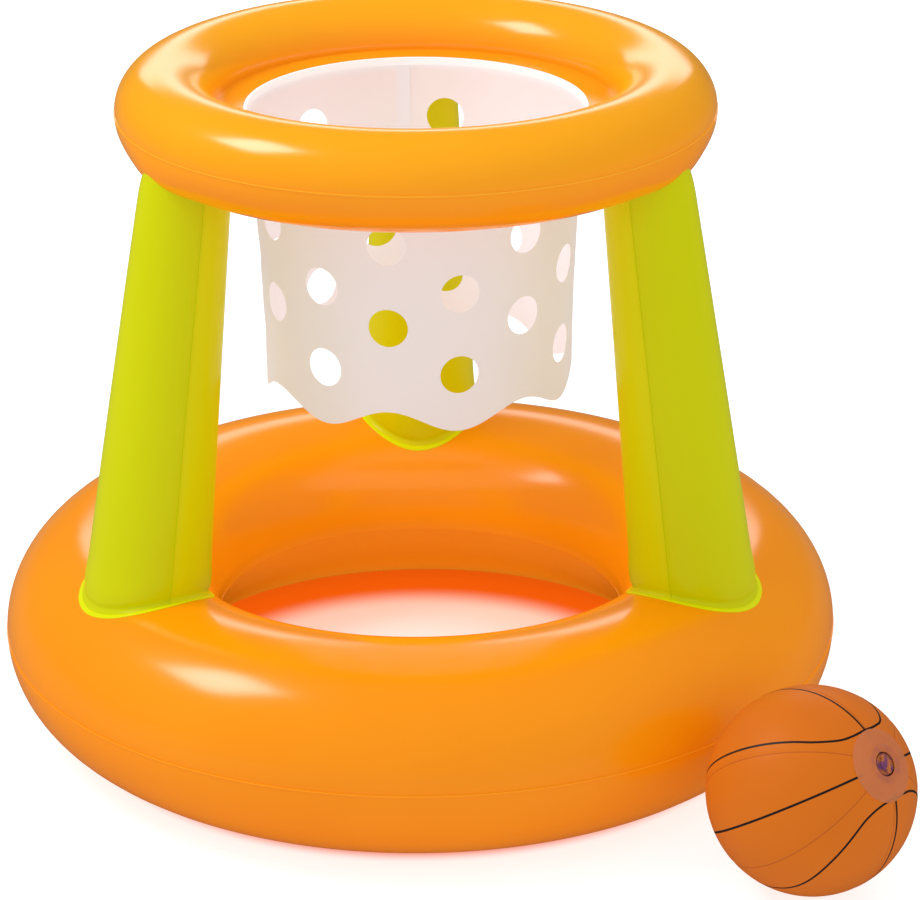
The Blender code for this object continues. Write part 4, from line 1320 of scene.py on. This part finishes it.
def stem_outline(settings):
    """Section of the stem: a collar with a rounded lip, and a tube with two grip rings."""
    bore, wall, collar = settings.bore_radius, settings.tube_radius, settings.collar_radius
    rows = [(bore, 0, -10.5), (wall, -0.3, -10.5), (wall, 0, -10.2)]
    for grip in (-8.4, -6.4):
        rows += [(wall, 0, grip - 0.7), (wall, 0.35, grip), (wall, 0, grip + 0.25)]
    rows += [(wall, 0, -2.3), (wall, 0.3, -2), (collar, -0.25, -2), (collar, 0, -1.75)]
    rows += [(collar, 0, -0.75), (collar, -0.12, -0.5), (collar, -0.4, -0.4)]
    rows += [(collar, -1, -0.42), (collar, -1.3, -0.65)]
    return outline_in_mm(rows + [(bore, 0.7, -0.65), (bore, 0.35, -0.42), (bore, 0, -0.8)])


def flap_outline():
    """Section of the thin flap under the air way."""
    return outline_in_mm([(0, 0, -11.2), (0, 4.4, -11.2), (0, 4.5, -11), (0, 4.4, -10.8), (0, 0, -10.8)])


def plug_shape(settings):
    """Points and faces of the plug at its seat: a cap with a strap and a tab, over a tapered pin."""
    angles = TAU * np.arange(PLUG_STEPS) / PLUG_STEPS
    cos, sin = np.cos(angles), np.sin(angles)
    ends = np.where(cos > 0, settings.hinge_reach, settings.collar_radius * 0.9)
    arm = np.minimum(ends / np.maximum(np.abs(cos), 1e-6), STRAP_HALF_WIDTH / np.maximum(np.abs(sin), 1e-6))
    reach = np.maximum(settings.cap_radius, np.where(np.abs(cos) > 0.2, arm, 0))
    reach = np.mean([np.roll(reach, shift) for shift in (-1, 0, 1)], axis=0)
    pin = ((1.16, -4.6), (1.45, -4.4), (2.784, -0.5), (2.9, -0.1))
    cap = ((-0.2, -0.1), (0, 0.1), (0, 0.5), (-0.12, 0.7), (-0.35, 0.8), (-1.3, 0.8), (-1.55, 0.65))
    levels = [(radius * MM, height * MM) for radius, height in pin]
    levels += [(np.maximum(reach + out * MM, 0.3 * MM), height * MM) for out, height in cap]
    rings = [np.stack([radius * cos, radius * sin, 0 * cos + height], -1) for radius, height in levels]
    return tube(np.array(rings), joined=False)


def laid_on(sheet, seat, points, inner, outer):
    """A flange's points bent onto a sheet: not at all at the inner radius, and fully beyond the outer one."""
    corners = [vertex.co for vertex in sheet.data.vertices]
    tree = BVHTree.FromPolygons(corners, [face.vertices for face in sheet.data.polygons])
    back = seat.inverted()
    down = -seat.col[2].to_3d()
    laid = []
    for x, y, z in points:
        reach = math.hypot(x, y)
        share = min(1.0, max(0.0, (reach - inner) / (outer - inner)))
        if share and z > SLEEVE_TOP:
            probe = max(reach, outer) / reach
            spot = tree.ray_cast(seat @ Vector((x * probe, y * probe, PROBE_START)), down)[0]
            z += share * ((back @ spot).z - FLANGE_SUNK)
        laid.append((x, y, z))
    return laid


class PH_OT_valves(bpy.types.Operator):
    """Build the three push-in valves: flange, stem, plug and flap"""

    bl_idname = "pool_hoop.valves"
    bl_label = "Valves"

    def execute(self, context):
        settings = context.scene.pool_hoop_valves
        sleeve = settings.sleeve_radius
        flange = clear_vinyl("clear_flange_vinyl", settings, alpha=0.07)
        clear = clear_vinyl("clear_valve_vinyl", settings, alpha=0.55)
        for name, holder in (("base", "float"), ("hoop", "float"), ("ball", "ball")):
            seat = settings.seat(name)
            shapes = (
                ("flange", holder, turned(flange_outline(settings), steps=96)),
                ("stem", f"{name}_stem", turned(stem_outline(settings), steps=96)),
                ("flap", f"{name}_flap", turned(flap_outline(), steps=64)),
                ("plug", f"{name}_plug", plug_shape(settings)),
            )
            for part, body, (points, faces) in shapes:
                if part == "flange" and name != "ball":
                    sheet = bpy.data.objects[f"{name}_upper_sheet"]
                    points = laid_on(sheet, seat, points, sleeve, sleeve + settings.sleeve_wall + 0.4 * MM)
                material = flange if part == "flange" else clear
                piece = add_piece(f"{name}_valve_{part}_fine", points, faces, material, seat, sharp=50)
                dress(piece, body, "clear_valve_vinyl", f"{name}_valve_{part}")
        return {"FINISHED"}


# Stage

LAMP_DISTANCE = 2.6
KEY_ANGLES = (math.radians(-84), math.radians(53))
BACK_ANGLES = (math.pi, math.radians(23))
BACK_SIZE = (2.2, 0.5)
FLOOR_DEPTH = 0.5 * MM
# Where the floor's painted blush, painted glow and plain outside begin and end, from under the base tube's
# middle.
FLOOR_BANDS = ((-150 * MM, -65 * MM), (-72 * MM, -30 * MM), (15 * MM, 40 * MM))


def studio_floor(settings, base):
    """Pale floor that the object shades. Inside the ring it is painted pink and orange: painted light from the
    base ring's vinyl.
    """
    finish = Finish("studio_floor", {"Roughness": 0.9, "Specular IOR Level": 0.1})
    place = finish.place()
    x, y, _ = finish.within(place, RING_PLACE)
    from_middle = (x * x + y * y).root() - base.centre_radius()
    # Painted light: pink and orange painted on the floor inside the ring.
    painted_blush, painted_glow, outside = [from_middle.step(start, end) for start, end in FLOOR_BANDS]
    inside = finish.mix(painted_blush, settings.painted_middle_colour, settings.painted_blush_colour)
    inside = finish.mix(painted_glow, inside, settings.painted_glow_colour)
    pale = finish.mix(finish.noise(place, scale=3.0), (0.99, 0.99, 0.99), (1, 1, 1))
    tint = finish.mix(outside, inside, pale)
    finish.set("Emission Color", tint)
    finish.set("Emission Strength", settings.floor_lift * finish.by_ray(0.58, 1.0, 0.05))
    shaded = {"data_type": "RGBA", "blend_type": "MULTIPLY"}
    lit = finish.add("ShaderNodeMix", shaded, {0: 1.0, 6: tint, 7: settings.floor_colour}, 2)
    finish.set("Base Color", finish.mix(finish.is_ray("Glossy") * 0.8, lit, BLACK))
    return finish.material


def set_world(settings):
    """Soft light from all round, white where the camera looks past the floor, and dim in mirrored gloss."""
    world = bpy.data.worlds.new("studio_light")
    world.use_nodes = True
    world.node_tree.nodes.clear()
    nodes = Nodes(world.node_tree)
    strength = nodes.by_ray(settings.sky, 1.0, settings.gleam)
    light = nodes.add("ShaderNodeBackground", None, {"Color": (1, 1, 1), "Strength": strength})
    output = world.node_tree.nodes.new("ShaderNodeOutputWorld")
    nodes.feed(output.inputs["Surface"], light)
    bpy.context.scene.world = world


def add_panel_lamp(name, power, size, angles, target):
    """A large lamp that faces the target, from an azimuth (0 in front, 90 on the right) and an elevation."""
    azimuth, elevation = angles
    lamp = bpy.data.lights.new(name, "AREA")
    lamp.shape = "RECTANGLE"
    lamp.size, lamp.size_y = size
    lamp.energy = power
    panel = add_object(name, lamp)
    level = math.cos(elevation)
    towards = Vector((math.sin(azimuth) * level, -math.cos(azimuth) * level, math.sin(elevation)))
    panel.location = target + towards * LAMP_DISTANCE
    panel.rotation_euler = towards.to_track_quat("Z", "Y").to_euler()
    panel.visible_camera = False


def add_camera(settings, target):
    """The camera at the photograph's angle, in front of the hoop and a little above it."""
    back = Vector((0, -math.cos(settings.elevation), math.sin(settings.elevation)))
    right = Vector((1, 0, 0))
    up = back.cross(right)
    turned_right = right * math.cos(settings.roll) + up * math.sin(settings.roll)
    turned_up = up * math.cos(settings.roll) - right * math.sin(settings.roll)
    stand = target + back * settings.distance
    aim = target + (turned_right * settings.aim_right - turned_up * settings.aim_down)
    out = (stand - aim).normalized()
    across = turned_up.cross(out).normalized()
    lens = bpy.data.cameras.new("studio_camera")
    lens.sensor_width = 36
    lens.lens = settings.focal_length
    lens.clip_end = 50
    camera = add_object("studio_camera", lens)
    camera.matrix_world = frame_of(stand, across, out)
    bpy.context.scene.camera = camera


class PH_OT_stage(bpy.types.Operator):
    """Set the pale floor, the soft light and the camera"""

    bl_idname = "pool_hoop.stage"
    bl_label = "Stage"

    def execute(self, context):
        settings = context.scene.pool_hoop_stage
        half = settings.floor_size / 2
        corners = [(-half, -half, 0), (half, -half, 0), (half, half, 0), (-half, half, 0)]
        mesh = mesh_of("studio_floor", corners, [(0, 1, 2, 3)])
        mesh.materials.append(studio_floor(settings, context.scene.pool_hoop_base))
        floor = add_object("studio_floor", mesh)
        floor.location.z = -FLOOR_DEPTH
        set_world(settings)
        target = ring_middle() + Vector((0, 0, settings.aim_height))
        key_size = (settings.key_size, settings.key_size)
        add_panel_lamp("key_lamp", settings.key_power, key_size, KEY_ANGLES, target)
        add_panel_lamp("back_panel", settings.back_power, BACK_SIZE, BACK_ANGLES, target)
        add_camera(settings, target)
        context.scene.view_settings.view_transform = "Standard"
        return {"FINISHED"}


class PH_PT_sidebar(bpy.types.Panel):
    """Lists the operators in the order in which they run"""

    bl_idname = "PH_PT_sidebar"
    bl_label = "Pool Hoop"
    bl_space_type = "VIEW_3D"
    bl_region_type = "UI"
    bl_category = "Pool Hoop"

    def draw(self, context):
        for operator in OPERATORS:
            self.layout.operator(operator.bl_idname)


SETTINGS = {
    "pool_hoop_base": PH_BaseRingSettings,
    "pool_hoop_hoop": PH_HoopRingSettings,
    "pool_hoop_posts": PH_PostSettings,
    "pool_hoop_net": PH_NetSettings,
    "pool_hoop_ball": PH_BallSettings,
    "pool_hoop_valves": PH_ValveSettings,
    "pool_hoop_stage": PH_StageSettings,
}
OPERATORS = (
    PH_OT_base_ring,
    PH_OT_hoop_ring,
    PH_OT_posts,
    PH_OT_net,
    PH_OT_ball,
    PH_OT_valves,
    PH_OT_stage,
)
CLASSES = (*SETTINGS.values(), *OPERATORS, PH_PT_sidebar)


def register():
    for cls in CLASSES:
        bpy.utils.register_class(cls)
    for name, group in SETTINGS.items():
        setattr(bpy.types.Scene, name, PointerProperty(type=group))


def unregister():
    for name in SETTINGS:
        delattr(bpy.types.Scene, name)
    for cls in reversed(CLASSES):
        bpy.utils.unregister_class(cls)


def main():
    register()
    bpy.ops.pool_hoop.base_ring()
    bpy.ops.pool_hoop.hoop_ring()
    bpy.ops.pool_hoop.posts()
    bpy.ops.pool_hoop.net()
    bpy.ops.pool_hoop.ball()
    bpy.ops.pool_hoop.valves()
    bpy.ops.pool_hoop.stage()


if __name__ == "__main__":
    main()
